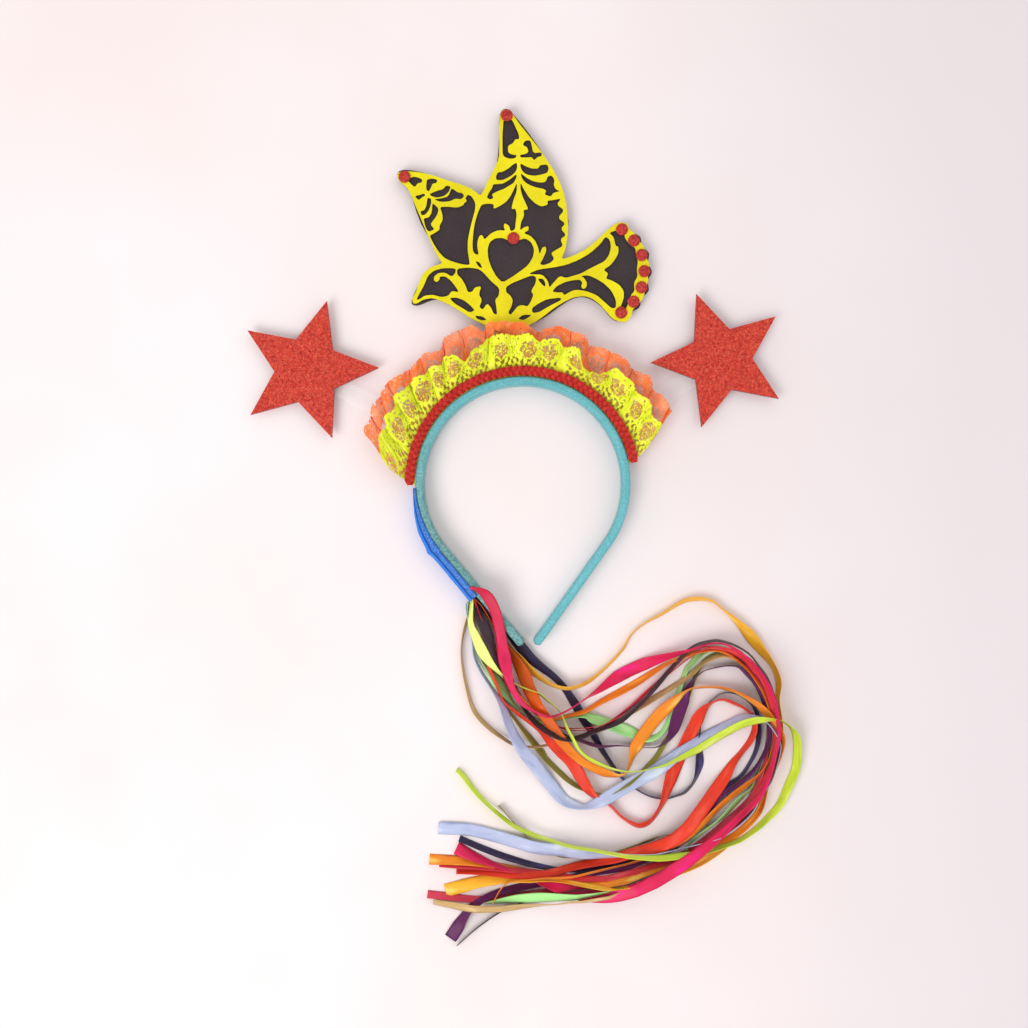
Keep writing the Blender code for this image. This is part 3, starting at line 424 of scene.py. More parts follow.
def band_look():
    """Aqua satin wound round the band: streaks along it, a grain of fine threads, and painted shade on the
    left leg.
    """
    s = Shader("aqua_satin_wrap", "6cc4d4", 0.42)
    along = s.split(s.place(uv=True))[1]
    streaks = s.noise(s.place((9, 14, 1), uv=True), 5.0, 3.0)
    grain = s.noise(s.place(), 900.0, 2.0, 0.7)
    drift = s.noise(s.place(), 24.0, 2.0)
    tone = s.ramp(streaks, ((0.3, "4a9ea6"), (0.55, "5fb2bb"), (0.75, "80cad2")))
    tone = s.mix(0.35, tone, s.ramp(grain, ((0.35, "37828c"), (0.65, "98dbe0"))))
    tone = s.mix(0.3, tone, s.ramp(drift, ((0.35, "529d9c"), (0.65, "70bfcd"))))
    # painted shade: the left leg turns darker and greener
    painted_left_leg_shade = s.ramp(s.math("MULTIPLY_ADD", along, 2.6, 0.5), ((0.6, 0.0), (0.76, 0.7)))
    tone = s.mix(painted_left_leg_shade, tone, s.ramp(grain, ((0.35, "47706a"), (0.65, "86aea8"))))
    s.link(tone, "Base Color")
    s.set("Sheen Weight", 0.05).set("Anisotropic", 0.4).set("Specular IOR Level", 0.3)
    s.bump(s.math("ADD", streaks, s.math("MULTIPLY", grain, 0.8)), 0.12 * MM, 0.4)
    return s.material


def add_band():
    """The band from the right leg's end to the left one's, each rounded off."""
    rings, lengths = [], []
    for i in range(BAND_STATIONS + 1):
        distance = -BAND_HALF_LENGTH + 2 * BAND_HALF_LENGTH * i / BAND_STATIONS
        left = min((BAND_HALF_LENGTH - abs(distance)) / END_ROUNDING, 1.0)
        ease = math.sqrt(max(0.0, 1 - (1 - left) ** 2))
        rings.append(band_ring(distance, 0.25 + 0.75 * ease))
        lengths.append(distance)
    band = loft("band_satin", rings, band_look(), lengths=lengths)
    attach(band, "root")
    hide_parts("band")


def add_band_lap():
    """A thin cord along the satin's lapped edge on the inner side, whose dark colour is painted shadow."""
    rings = []
    for i in range(LAP_STATIONS + 1):
        distance = -(LAP_START + (LAP_END - LAP_START) * i / LAP_STATIONS) * MM
        middle, normal = along_band(distance, -BAND_THICKNESS / 2 + 0.15 * MM)
        rise = BAND_WIDTH - 1.9 * MM + 0.12 * MM * math.sin(i * 0.35)
        ring = []
        for k in range(LAP_SIDES):
            turn = 2 * math.pi * k / LAP_SIDES
            spot = middle + normal * LAP_HALF_DEPTH * math.cos(turn)
            ring.append(spot + upright(rise + LAP_HALF_HEIGHT * math.sin(turn)))
        rings.append(ring)
    s = Shader("satin_lap_shadow", "3d5558", 0.7)
    s.link(s.ramp(s.noise(s.place(), 700.0), ((0.3, "2f474c"), (0.7, "5b8188"))), "Base Color")
    lap = loft("band_satin_lap", rings, s.material)
    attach(lap, "root")


# The plait: the radius of its middle line, the bearings of its ends, and the length of one turn of a strand
BRAID_LOW, BRAID_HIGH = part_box("braid_trim")
BRAID_Z = (BRAID_LOW.z + BRAID_HIGH.z) / 2
BRAID_RADIUS = BAND_OUTER + 3.0 * MM
BRAID_START, BRAID_END = math.radians(90 + 88.3), math.radians(90 - 81.3)
BRAID_LENGTH = (BRAID_START - BRAID_END) * BRAID_RADIUS
BRAID_PERIOD = 9.9 * MM
BRAID_FADE = 3 * MM
STRANDS, CORDS, CORD_SIDES = 3, 3, 8
STRAND_SWING, STRAND_LIFT = 1.6 * MM, 0.8 * MM
CORD_PITCH, CORD_CROWN = 0.72 * MM, 0.28 * MM
CORD_HALF_WIDTH, CORD_HALF_HEIGHT = 0.43 * MM, 0.48 * MM
# The step along a strand over which its slope is taken
SLOPE_STEP = 0.2 * MM
BED_STATIONS, BED_HALF_WIDTH, BED_DEPTH = 180, 1.9 * MM, 0.9 * MM


def strand_spot(t, phase):
    """How far a strand is out from the plait's middle line and up from it, at a distance along it."""
    angle = 2 * math.pi * t / BRAID_PERIOD + phase
    fade = smoothstep(0, BRAID_FADE, t) * smoothstep(0, BRAID_FADE, BRAID_LENGTH - t)
    return STRAND_SWING * math.sin(angle) * (0.35 + 0.65 * fade), STRAND_LIFT * math.sin(2 * angle)


def cord_ring(t, phase, place):
    """A section of a cord, whose place in its strand is -1, 0 or 1."""
    side, lift = strand_spot(t, phase)
    ahead, _ = strand_spot(min(t + SLOPE_STEP, BRAID_LENGTH), phase)
    slope = (ahead - side) / SLOPE_STEP
    lean = 1 / math.sqrt(1 + slope * slope)
    shift = place * CORD_PITCH
    bearing = BRAID_START - (t - shift * slope * lean) / BRAID_RADIUS
    spot = polar(BRAID_RADIUS + (side + shift * lean), bearing)
    spot.z = BRAID_Z + lift + CORD_CROWN * (1 - abs(place))
    out = Vector((math.cos(bearing), math.sin(bearing), 0))
    on = Vector((math.sin(bearing), -math.cos(bearing), 0))
    across = (out * lean - on * slope * lean).normalized()
    ring = []
    for k in range(CORD_SIDES):
        turn = 2 * math.pi * k / CORD_SIDES
        wide, tall = across * CORD_HALF_WIDTH * math.cos(turn), upright(CORD_HALF_HEIGHT * math.sin(turn))
        ring.append(spot + wide + tall)
    return ring


def add_braid():
    """A flat plait of three strands, each of three fine cords side by side."""
    stations = int(BRAID_LENGTH / BRAID_PERIOD * 26)
    verts, faces, uvs = [], [], []
    for strand in range(STRANDS):
        for cord in range(CORDS):
            faces += tube_faces(len(verts), stations + 1, CORD_SIDES)
            for i in range(stations + 1):
                t = BRAID_LENGTH * i / stations
                verts += cord_ring(t, 2 * math.pi * strand / STRANDS, cord - 1)
                uvs += [(k / CORD_SIDES, t) for k in range(CORD_SIDES)]
    braid = make_mesh("braid_plait", verts, faces, uvs)
    s = Shader("red_braid_cord", "b8242c", 0.6)
    spot = s.place()
    fibres = s.noise(s.place((3, 900, 1), uv=True), 1.0, 2.0)
    tone = s.ramp(fibres, ((0.3, "a01a18"), (0.55, "cc2c26"), (0.75, "e85042")))
    tone = s.mix(0.3, tone, s.ramp(s.noise(spot, 60.0), ((0.35, "b42420"), (0.65, "dc3c34"))))
    s.link(tone, "Base Color")
    s.set("Sheen Weight", 0.05).set("Specular IOR Level", 0.25)
    s.bump(fibres, 0.08 * MM, 0.6)
    braid.data.materials.append(s.material)
    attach(braid, "root")
    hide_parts("braid_trim")


def add_braid_shade_bed():
    """The dark bed of the plait, coloured as painted shade, which closes the gaps between its lobes."""
    rings = []
    for i in range(BED_STATIONS + 1):
        bearing = BRAID_START - (BRAID_START - BRAID_END) * (0.006 + 0.988 * i / BED_STATIONS)
        ring = []
        for across, up in ((-1, -0.9), (1, -0.9), (1, 0), (-1, 0)):
            p = polar(BRAID_RADIUS + across * BED_HALF_WIDTH, bearing)
            p.z = BRAID_Z + up * BED_DEPTH
            ring.append(p)
        rings.append(ring)
    s = Shader("red_braid_shade_bed", "6d0f18", 0.8)
    s.link(s.ramp(s.noise(s.place(), 900.0), ((0.3, "4d0a12"), (0.7, "7f1520"))), "Base Color")
    bed = loft("braid_shade_bed", rings, s.material, smooth=False)
    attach(bed, "root")


# Lace frills

# The strip by the band that lies flat, and the reach at which the lean of the ends is read
LACE_FLAT = 5 * MM
LACE_FULL = 32 * MM
# A cell's size in millimetres
LACE_CELL = 0.62
# The bearings of the cloth's two ends at the band, and how many degrees each has come in at the full reach
LACE_LEFT, LACE_RIGHT = 178.5, 9
LEAN_LEFT, LEAN_RIGHT = 17, 12
# The degrees by which the cloth's mean length falls short of the whole arc between its ends
MEAN_LEAN = 14
# How much longer the gathered cloth is than its edge, the share that the holes leave, and the glued edge
FULLNESS = 1.3
CLOTH_LEFT = 0.8
GLUED_EDGE = 1.5 * MM
# What a cell of the cloth is, and how wide the rim is that net, open work and holes leave of it
CLOSE, NET, OPEN_WORK, HOLE, CUT_AWAY = range(5)
CELL_RIMS = {NET: 0.2, OPEN_WORK: 0.24, HOLE: 0.1}
# The front frill's lobes are counted from 0 and the rear one's from 40; in three the ovals are worn through
REAR_FIRST = 40
OPEN_LOBES = (40, 41, 43)

# How far each frill's edge reaches from the band: the bearing in degrees and the reach in millimetres
FRONT_EDGE = (
    (169.0, 17.5), (167.0, 18.7), (158.9, 22.3), (155.0, 20.7), (151.9, 23.3), (147.7, 20.7), (143.6, 24.4),
    (139.1, 22.1), (134.6, 22.5), (128.8, 19.5), (126.9, 20.9), (122.5, 18.5), (119.7, 21.3), (116.6, 19.6),
    (113.2, 13.6), (108.1, 17.5), (104.3, 18.7), (101.2, 21.6), (95.4, 21.8), (90.6, 20.7), (85.8, 21.2),
    (81.4, 17.7), (79.1, 19.3), (74.2, 20.6), (71.0, 17.7), (66.2, 19.4), (59.7, 11.0), (52.9, 12.0),
    (51.4, 15.4), (49.1, 20.6), (45.0, 20.2), (39.8, 21.0), (36.8, 19.0), (30.2, 22.1), (24.8, 19.2),
    (21.2, 21.8), (15.6, 20.1))
BACK_EDGE = (
    (163.0, 30.0), (160.3, 32.4), (155.2, 30.6), (151.1, 32.4), (146.3, 31.6), (140.6, 32.2), (135.4, 29.2),
    (131.0, 28.0), (125.5, 29.1), (119.7, 25.8), (116.2, 30.5), (109.7, 30.7), (106.5, 31.3), (102.1, 25.8),
    (100.7, 29.9), (94.8, 29.5), (88.9, 28.3), (81.9, 23.7), (79.7, 25.8), (74.6, 28.3), (69.8, 27.4),
    (65.0, 27.7), (61.9, 24.3), (55.2, 26.5), (48.6, 28.1), (43.8, 26.9), (37.6, 30.4), (33.2, 28.1),
    (28.7, 30.3), (21.2, 30.7), (18.0, 31.1), (14.0, 28.0))
# The troughs between the lobes of the gathers: the bearing of each and how deep it is
FRONT_TROUGHS = (
    (174.0, 0.5), (155.0, 0.7), (145.6, 0.9), (136.3, 1.0), (127.9, 0.9), (120.6, 0.7), (113.2, 1.0),
    (101.7, 1.0), (91.0, 0.4), (80.1, 1.0), (72.0, 0.8), (57.6, 1.0), (50.8, 0.9), (38.7, 0.9), (27.9, 0.7),
    (20.5, 0.7), (9.0, 0.5))
BACK_TROUGHS = (
    (174.0, 0.5), (153.1, 0.7), (147.2, 0.8), (141.0, 0.8), (133.3, 0.7), (126.9, 0.9), (118.0, 1.0),
    (108.1, 0.5), (102.0, 1.0), (91.9, 0.4), (81.7, 1.0), (70.3, 0.6), (62.1, 0.9), (54.4, 0.9),
    (44.9, 0.9), (34.0, 0.8), (24.8, 0.8), (9.0, 0.5))


def interpolate(table, bearing):
    """The second value of a table whose first values fall."""
    if bearing >= table[0][0]:
        return table[0][1]
    for (a, x), (b, y) in zip(table, table[1:]):
        if bearing >= b:
            return x + (y - x) * smoothstep(0, 1, (a - bearing) / (a - b))
    return table[-1][1]


def lobe(troughs, bearing):
    """Which lobe of the gathers a bearing is in, how far across it, its angular width, and its depth."""
    bearing = min(max(bearing, troughs[-1][0]), troughs[0][0])
    for n, ((a, x), (b, y)) in enumerate(zip(troughs, troughs[1:])):
        if bearing >= b:
            share = (a - bearing) / (a - b)
            return n, share, a - b, x + (y - x) * share
    return len(troughs) - 2, 1.0, troughs[-2][0] - troughs[-1][0], troughs[-1][1]


def lace_bearing(along, out):
    """The bearing in degrees of a spot on the flat cloth, whose ends come in as it goes out."""
    left, right = LACE_LEFT - LEAN_LEFT * out / LACE_FULL, LACE_RIGHT + LEAN_RIGHT * out / LACE_FULL
    return left + (right - left) * along


def lace_spot(along, out, rear, root_z, rise, swing, reach):
    """A point of the gathered cloth: along it from 0 to 1, and out from the band up to its reach."""
    bearing = lace_bearing(along, out)
    _, across, width, depth = lobe(BACK_TROUGHS if rear else FRONT_TROUGHS, lace_bearing(along, reach))
    lift = max(out - LACE_FLAT, 0.0) / (reach - LACE_FLAT)
    turn = 2 * math.pi * across
    crest = 1 - depth * (0.5 + 0.5 * math.cos(turn))
    # The cloth bulges out over the troughs on both sides of each lobe
    bearing += 0.21 * width * math.sin(turn) * min(lift * 1.5, 1.0) * depth
    bearing += (0.9 if rear else 1.1) * math.sin(along * 61 + out * 140) * lift
    edge = interpolate(BACK_EDGE if rear else FRONT_EDGE, bearing) * MM
    scale = 1 + (edge / reach - 1) * lift
    small = noise.noise(Vector((along * 150, out * 160, 3.0 if rear else 0.0)))
    fine = noise.noise(Vector((along * 430, out * 430, 7.0 if rear else 4.0)))
    p = polar(BAND_OUTER + 0.3 * MM + out * scale + 0.5 * MM * fine * lift, math.radians(bearing))
    ease = lift ** (1.5 if rear else 0.85)
    crumple = (small * 1.3 + fine * 0.5) * MM
    p.z = root_z + ease * (rise + swing * (2 * crest - 1)) + crumple * min(lift * 2, 1.0)
    p.z = max(p.z, root_z - 0.4 * MM)
    return p


# The lace in millimetres: how far apart its scallops are and how deep, its close hem and foot, the border
# inside the hem, and the border's holes: how far apart they are along the cloth and out, and their radius
SCALLOP_PITCH, SCALLOP_DEPTH = 4.4, 1.7
HEM, FOOT, BORDER = 1.1, 1.4, 4.2
HOLE_ALONG, HOLE_OUT, HOLE_RADIUS = 2.2, 2.4, 0.42


def lace_kind(u, v, x, wide, edge, seed):
    """What a cell is, with all lengths in millimetres.

    u runs along the cloth and v out over it, x from the middle of its lobe, which is wide across.
    """

    def patches(pitch, offset):
        return noise.noise(Vector((u * pitch, v * pitch, seed + offset)))

    rim = edge - SCALLOP_DEPTH + SCALLOP_DEPTH * math.sqrt(abs(math.sin(math.pi * u / SCALLOP_PITCH)))
    if v > rim:
        return CUT_AWAY
    if v > rim - HEM or v < FOOT:
        return CLOSE
    if v > rim - BORDER:
        away = math.hypot((u % HOLE_ALONG) - HOLE_ALONG / 2, (v % HOLE_OUT) - HOLE_OUT / 2)
        return HOLE if away < HOLE_RADIUS and patches(0.9, 0) > -0.05 else CLOSE
    ragged = patches(0.55, 9)
    middle, half_w, half_h = edge * 0.6, min(wide * 0.3, 3.6), edge * (0.19 + 0.03 * math.sin(seed * 2.4))
    oval = (x / half_w) ** 2 + ((v - middle) / half_h) ** 2 + 0.9 * ragged
    if x < -wide * 0.22 and seed % 3 == 1:
        return CLOSE
    if seed in OPEN_LOBES and oval < 0.75:
        return CUT_AWAY
    if oval < 0.95:
        speck = patches(1.3, 2)
        return CLOSE if speck > 0.22 else (HOLE if speck < -0.33 else NET)
    if oval < 1.6:
        return HOLE if oval < 1.15 and ragged > 0.12 else CLOSE
    if v < edge * 0.46:
        leaf = math.sin(u * 1.15 + 0.5 * v) * math.sin(v * 1.25 - 0.35 * u + seed) + 0.5 * ragged
        return HOLE if leaf > 0.36 else (OPEN_WORK if leaf > 0.05 else CLOSE)
    return OPEN_WORK if patches(0.8, 5) > 0.28 else CLOSE


def add_lace(name, node, rear, reach, rise, swing, looks):
    """A frill of cells: close ones are whole, and the others keep a rim round a hole."""
    root_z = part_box(node)[0].z + 0.5 * MM
    tallest = reach / MM
    edge_radius = (BAND_OUTER + reach) / MM
    span = math.radians(LACE_LEFT - LACE_RIGHT - MEAN_LEAN) * edge_radius
    columns = int(span * FULLNESS / LACE_CELL)
    rows = int(tallest / LACE_CELL)
    verts, faces, uvs, kinds = [], [], [], []
    at = {}

    def corner(i, k):
        if (i, k) not in at:
            at[i, k] = len(verts)
            verts.append(lace_spot(i / columns, reach * k / rows, rear, root_z, rise, swing, reach))
            uvs.append((i * LACE_CELL * MM, k * LACE_CELL * MM))
        return at[i, k]

    def between(outer, x, y):
        """A new point inside a cell, at these shares of its width and height."""
        a, b, c, d = outer
        near = verts[a].lerp(verts[b], x)
        far = verts[d].lerp(verts[c], x)
        verts.append(near.lerp(far, y))
        uvs.append((uvs[a][0] + (uvs[b][0] - uvs[a][0]) * x, uvs[a][1] + (uvs[d][1] - uvs[a][1]) * y))
        return len(verts) - 1

    for i in range(columns):
        bearing = lace_bearing((i + 0.5) / columns, reach)
        n, across, width, _ = lobe(BACK_TROUGHS if rear else FRONT_TROUGHS, bearing)
        seed = n + (REAR_FIRST if rear else 0)
        wide = math.radians(width) * edge_radius * FULLNESS
        for k in range(rows):
            u, v = (i + 0.5) * LACE_CELL, (k + 0.5) * LACE_CELL
            kind = lace_kind(u, v, (across - 0.5) * wide, wide, tallest, seed)
            if kind == CUT_AWAY:
                continue
            outer = corner(i, k), corner(i + 1, k), corner(i + 1, k + 1), corner(i, k + 1)
            if kind == CLOSE:
                faces.append(outer)
                kinds.append(kind)
                continue
            rim = CELL_RIMS[kind]
            skew = 0.08 if (i + k) % 2 else -0.08
            far = 1 - rim
            inside = ((rim + skew, rim), (far, rim + skew), (far - skew, far), (rim, far - skew))
            inner = [between(outer, x, y) for x, y in inside]
            for this, following in ((0, 1), (1, 2), (2, 3), (3, 0)):
                faces.append((outer[this], outer[following], inner[following], inner[this]))
                kinds.append(min(kind, OPEN_WORK))
    lace = make_mesh(name, verts, faces, uvs)
    for look in looks:
        lace.data.materials.append(look)
    lace.data.polygons.foreach_set("material_index", kinds)
    area = sum(p.area for p in lace.data.polygons)
    width, length = reach + GLUED_EDGE, area / reach / CLOTH_LEFT
    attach(lace, "root")
    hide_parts(node)


def lace_material(name, code, dark, light, sheer=None):
    """Lace thread; where sheer is given, its thin patches are that opaque."""
    s = Shader(name, code, 0.62)
    cloth = s.place((1, 1, 1), uv=True)
    threads = s.noise(cloth, 1500.0, 2.0)
    patches = s.noise(cloth, 190.0, 3.0)
    tone = s.ramp(patches, ((0.3, dark), (0.5, code), (0.7, light)))
    tone = s.mix(0.35, tone, s.ramp(threads, ((0.35, dark), (0.65, light))))
    s.link(tone, "Base Color")
    s.set("Specular IOR Level", 0.2)
    if sheer:
        s.link(s.ramp(s.noise(cloth, 90.0, 2.0), ((0.35, sheer), (0.6, 1.0))), "Alpha")
    s.bump(s.math("ADD", threads, patches), 0.2 * MM, 0.6)
    return s.material


# Dove, discs, stars and stays


def dress_dove():
    """Black board with a fine grain, and a yellow sheet that is dull on its cut edges."""
    s = Shader("black_board_face", "43383b", 0.62)
    spot = s.place()
    grain = s.noise(spot, 1300.0, 2.0)
    tone = s.ramp(grain, ((0.3, "2a2225"), (0.7, "42373b")))
    tone = s.mix(0.4, tone, s.ramp(s.noise(spot, 70.0), ((0.35, "2f2629"), (0.65, "3f3538"))))
    s.link(tone, "Base Color")
    s.set("Specular IOR Level", 0.25)
    s.bump(grain, 0.05 * MM, 0.3)
    dress_node("dove_backing", s.material)

    s = Shader("yellow_board_face", "f2e500", 0.5)
    spot = s.place()
    grain = s.noise(spot, 1100.0, 2.0)
    tone = s.ramp(s.noise(spot, 60.0, 3.0), ((0.3, "d8c800"), (0.6, "e8da00"), (0.8, "f2e622")))
    tone = s.mix(0.15, tone, s.ramp(grain, ((0.35, "d8cb00"), (0.65, "fff94a"))))
    tone = s.mix(faces_up(s), "9c9420", tone)
    s.link(tone, "Base Color")
    s.set("Specular IOR Level", 0.2)
    s.bump(grain, 0.04 * MM, 0.3)
    add_fretwork(s.material)


# The pierced yellow sheet of the dove: its outline and openings in pixels of an enlarged part of the
# photograph, after that part's corner and how much it is enlarged
FRET_CORNER = (380, 90)
FRET_ENLARGED = 4.9
FRET_OUTLINE = (
    (158, 1035), (160, 1018), (178, 985), (192, 945), (210, 905), (232, 880), (262, 864), (308, 850),
    (285, 820), (245, 740), (215, 665), (190, 605), (170, 560), (155, 520), (130, 475), (95, 450),
    (84, 425), (90, 405), (115, 398), (160, 401), (210, 407), (255, 418), (300, 433), (340, 447),
    (400, 465), (450, 485), (490, 520), (505, 500), (530, 445), (560, 385), (583, 335), (585, 280),
    (585, 200), (589, 120), (600, 98), (625, 95), (650, 118), (680, 163), (720, 213), (765, 270),
    (805, 325), (842, 380), (872, 435), (895, 490), (911, 550), (920, 620), (922, 680), (916, 740),
    (905, 790), (888, 832), (950, 812), (1010, 780), (1060, 740), (1110, 690), (1150, 658), (1180, 648),
    (1210, 655), (1222, 685), (1247, 702), (1258, 732), (1285, 755), (1301, 790), (1306, 825), (1321, 855),
    (1311, 900), (1315, 935), (1301, 975), (1290, 1020), (1264, 1055), (1238, 1075), (1231, 1110),
    (1206, 1138), (1172, 1135), (1139, 1121), (1109, 1087), (1075, 1048), (1036, 1020), (1000, 1010),
    (952, 1015), (908, 1035), (854, 1068), (803, 1108), (758, 1139), (718, 1158), (640, 1172), (540, 1168),
    (510, 1150), (440, 1116), (380, 1076), (320, 1042), (260, 1019), (215, 1026), (182, 1046), (166, 1048))
FRET_OPENINGS = (
    # the small wing
    ((150, 432), (165, 425), (190, 430), (208, 440), (205, 455), (185, 458), (172, 477), (158, 468),
     (146, 455), (136, 445)),
    ((230, 440), (255, 434), (281, 440), (278, 457), (258, 460), (250, 480), (240, 499), (227, 490),
     (227, 465)),
    ((173, 520), (195, 515), (215, 508), (224, 517), (205, 528), (193, 540), (180, 534)),
    ((243, 510), (280, 494), (308, 488), (325, 468), (347, 474), (338, 500), (315, 521), (280, 529),
     (250, 521)),
    ((266, 536), (300, 532), (335, 522), (350, 483), (362, 488), (380, 502), (405, 506), (413, 522),
     (397, 537), (370, 533), (345, 546), (310, 550), (285, 546)),
    ((430, 513), (450, 522), (468, 555), (466, 590), (452, 640), (440, 690), (430, 740), (430, 790),
     (437, 830), (440, 859), (400, 855), (350, 840), (315, 824), (285, 790), (260, 750), (243, 715),
     (262, 705), (292, 686), (292, 664), (307, 640), (306, 610), (293, 574), (330, 572), (378, 577),
     (408, 566), (412, 556), (426, 545), (418, 532)),
    ((233, 528), (251, 533), (251, 560), (240, 590), (222, 612), (204, 616), (198, 595), (217, 590),
     (227, 570)),
    ((257, 556), (268, 563), (287, 580), (284, 605), (270, 630), (257, 645), (248, 660), (268, 684),
     (240, 696), (226, 680), (217, 650), (214, 630), (240, 625), (254, 600)),
    # the tip and the leaves of the large wing
    ((605, 150), (640, 143), (652, 155), (665, 185), (679, 215), (683, 242), (662, 243), (652, 262),
     (627, 275), (628, 308), (650, 318), (669, 319), (666, 334), (640, 339), (612, 331), (601, 318),
     (600, 280), (600, 220), (603, 180)),
    ((702, 262), (714, 248), (737, 248), (744, 275), (751, 310), (792, 306), (792, 325), (772, 330),
     (755, 346), (743, 330), (720, 332), (688, 332), (686, 319), (715, 314), (728, 303), (720, 280),
     (702, 274)),
    ((669, 356), (673, 375), (668, 397), (650, 417), (625, 432), (600, 443), (570, 442), (568, 425),
     (577, 404), (600, 402), (630, 385), (650, 367)),
    ((688, 360), (715, 375), (745, 386), (775, 386), (785, 368), (820, 366), (827, 385), (820, 407),
     (790, 416), (755, 422), (720, 416), (700, 402), (688, 380)),
    ((669, 413), (669, 430), (655, 457), (630, 472), (605, 487), (577, 497), (548, 512), (557, 530),
     (540, 538), (523, 529), (533, 505), (550, 480), (554, 463), (580, 461), (600, 460), (630, 444),
     (650, 428)),
    ((688, 408), (720, 432), (750, 448), (790, 455), (812, 450), (822, 423), (842, 420), (855, 440),
     (851, 468), (862, 488), (882, 497), (850, 505), (836, 524), (806, 513), (815, 495), (800, 485),
     (770, 480), (740, 470), (715, 457), (696, 436)),
    # the two fields of the large wing and the heart
    ((498, 562), (530, 557), (558, 560), (556, 584), (590, 568), (620, 547), (640, 520), (655, 490),
     (671, 455), (670, 500), (654, 540), (643, 585), (664, 582), (670, 612), (666, 640), (662, 685),
     (640, 694), (632, 665), (610, 653), (606, 672), (614, 690), (580, 688), (545, 702), (512, 735),
     (502, 712), (488, 714), (478, 742), (477, 772), (484, 806), (470, 808), (456, 792), (453, 760),
     (457, 700), (465, 650), (480, 600)),
    ((689, 455), (705, 488), (730, 527), (760, 556), (790, 572), (822, 563), (820, 543), (850, 540),
     (888, 532), (866, 562), (903, 590), (872, 627), (908, 655), (886, 680), (912, 712), (884, 732),
     (897, 765), (858, 787), (838, 800), (854, 828), (835, 848), (800, 860), (783, 853), (796, 832),
     (815, 790), (812, 768), (795, 772), (782, 808), (774, 770), (760, 740), (738, 716), (703, 702),
     (728, 688), (728, 668), (705, 674), (686, 690), (690, 650), (706, 618), (703, 588), (727, 586),
     (712, 552), (697, 520), (688, 485)),
    ((600, 945), (570, 915), (545, 870), (530, 825), (527, 780), (538, 745), (565, 727), (600, 725),
     (628, 737), (652, 757), (680, 737), (710, 727), (740, 745), (756, 780), (750, 820), (725, 860),
     (690, 887), (650, 915)),
    ((466, 838), (490, 846), (502, 874), (484, 868)),
    # the head and the body
    ((178, 1030), (190, 1005), (215, 960), (235, 910), (265, 885), (310, 873), (372, 874), (370, 898),
     (352, 916), (320, 896), (288, 897), (266, 913), (264, 934), (278, 942), (291, 932), (294, 914),
     (320, 914), (345, 932), (368, 960), (388, 992), (352, 985), (334, 1010), (300, 1016), (260, 1004),
     (220, 1008), (195, 1026)),
    ((378, 876), (430, 870), (480, 876), (505, 893), (545, 938), (586, 972), (582, 1010), (564, 1028),
     (570, 1060), (574, 1103), (556, 1096), (545, 1068), (525, 1046), (504, 1078), (486, 1064), (500, 1030),
     (484, 1002), (497, 962), (465, 968), (452, 990), (430, 992), (420, 960), (400, 925), (378, 905)),
    ((340, 1020), (375, 1017), (410, 1030), (440, 1053), (465, 1080), (440, 1092), (400, 1067),
     (365, 1047)),
    ((466, 1106), (500, 1109), (524, 1126), (500, 1131), (475, 1121)),
    ((617, 966), (650, 945), (700, 925), (745, 908), (766, 918), (762, 950), (740, 985), (752, 1005),
     (738, 1040), (722, 1062), (698, 1054), (675, 1060), (655, 1085), (640, 1103), (627, 1092), (645, 1060),
     (651, 1030), (638, 1007), (618, 992)),
    ((743, 1070), (780, 1044), (820, 1025), (884, 1017), (888, 1030), (850, 1049), (810, 1071), (780, 1089),
     (748, 1094)),
    ((676, 1121), (700, 1102), (744, 1102), (722, 1119), (700, 1129)),
    ((772, 926), (798, 924), (811, 948), (808, 966), (790, 950)),
    # the tail
    ((728, 901), (775, 880), (850, 870), (910, 858), (970, 835), (1030, 800), (1080, 755), (1105, 718),
     (1126, 735), (1132, 770), (1122, 810), (1100, 840), (1060, 860), (1020, 880), (985, 900), (950, 910),
     (912, 922), (880, 912), (850, 945), (830, 970), (822, 935), (795, 905), (745, 904)),
    ((843, 988), (868, 960), (910, 940), (950, 932), (980, 930), (992, 945), (985, 962), (993, 976),
     (1010, 970), (1014, 945), (1000, 922), (984, 912), (1020, 908), (1060, 925), (1100, 950), (1135, 985),
     (1156, 1030), (1156, 1067), (1135, 1071), (1100, 1040), (1060, 1005), (1010, 986), (960, 979),
     (930, 990), (903, 1007), (894, 992), (866, 993)),
    ((1122, 700), (1165, 686), (1196, 698), (1200, 727), (1226, 760), (1252, 775), (1254, 810), (1264, 840),
     (1258, 880), (1262, 915), (1244, 945), (1247, 985), (1228, 1008), (1217, 1045), (1203, 1077),
     (1175, 1092), (1157, 1087), (1180, 1060), (1194, 1020), (1194, 985), (1172, 955), (1137, 935),
     (1106, 925), (1118, 900), (1094, 882), (1130, 858), (1152, 830), (1168, 800), (1168, 768), (1154, 765),
     (1145, 722)))


# How far each corner of the cut is rounded, as a share of the sides that meet there
CORNER_SHARE = 0.2


def eased(points):
    """The polygon with its corners cut once, so that knife turns look soft."""
    near, far = 1 - CORNER_SHARE, CORNER_SHARE
    result = []
    for (ax, ay), (bx, by) in zip(points, points[1:] + points[:1]):
        result.append((ax * near + bx * far, ay * near + by * far))
        result.append((ax * far + bx * near, ay * far + by * near))
    return result


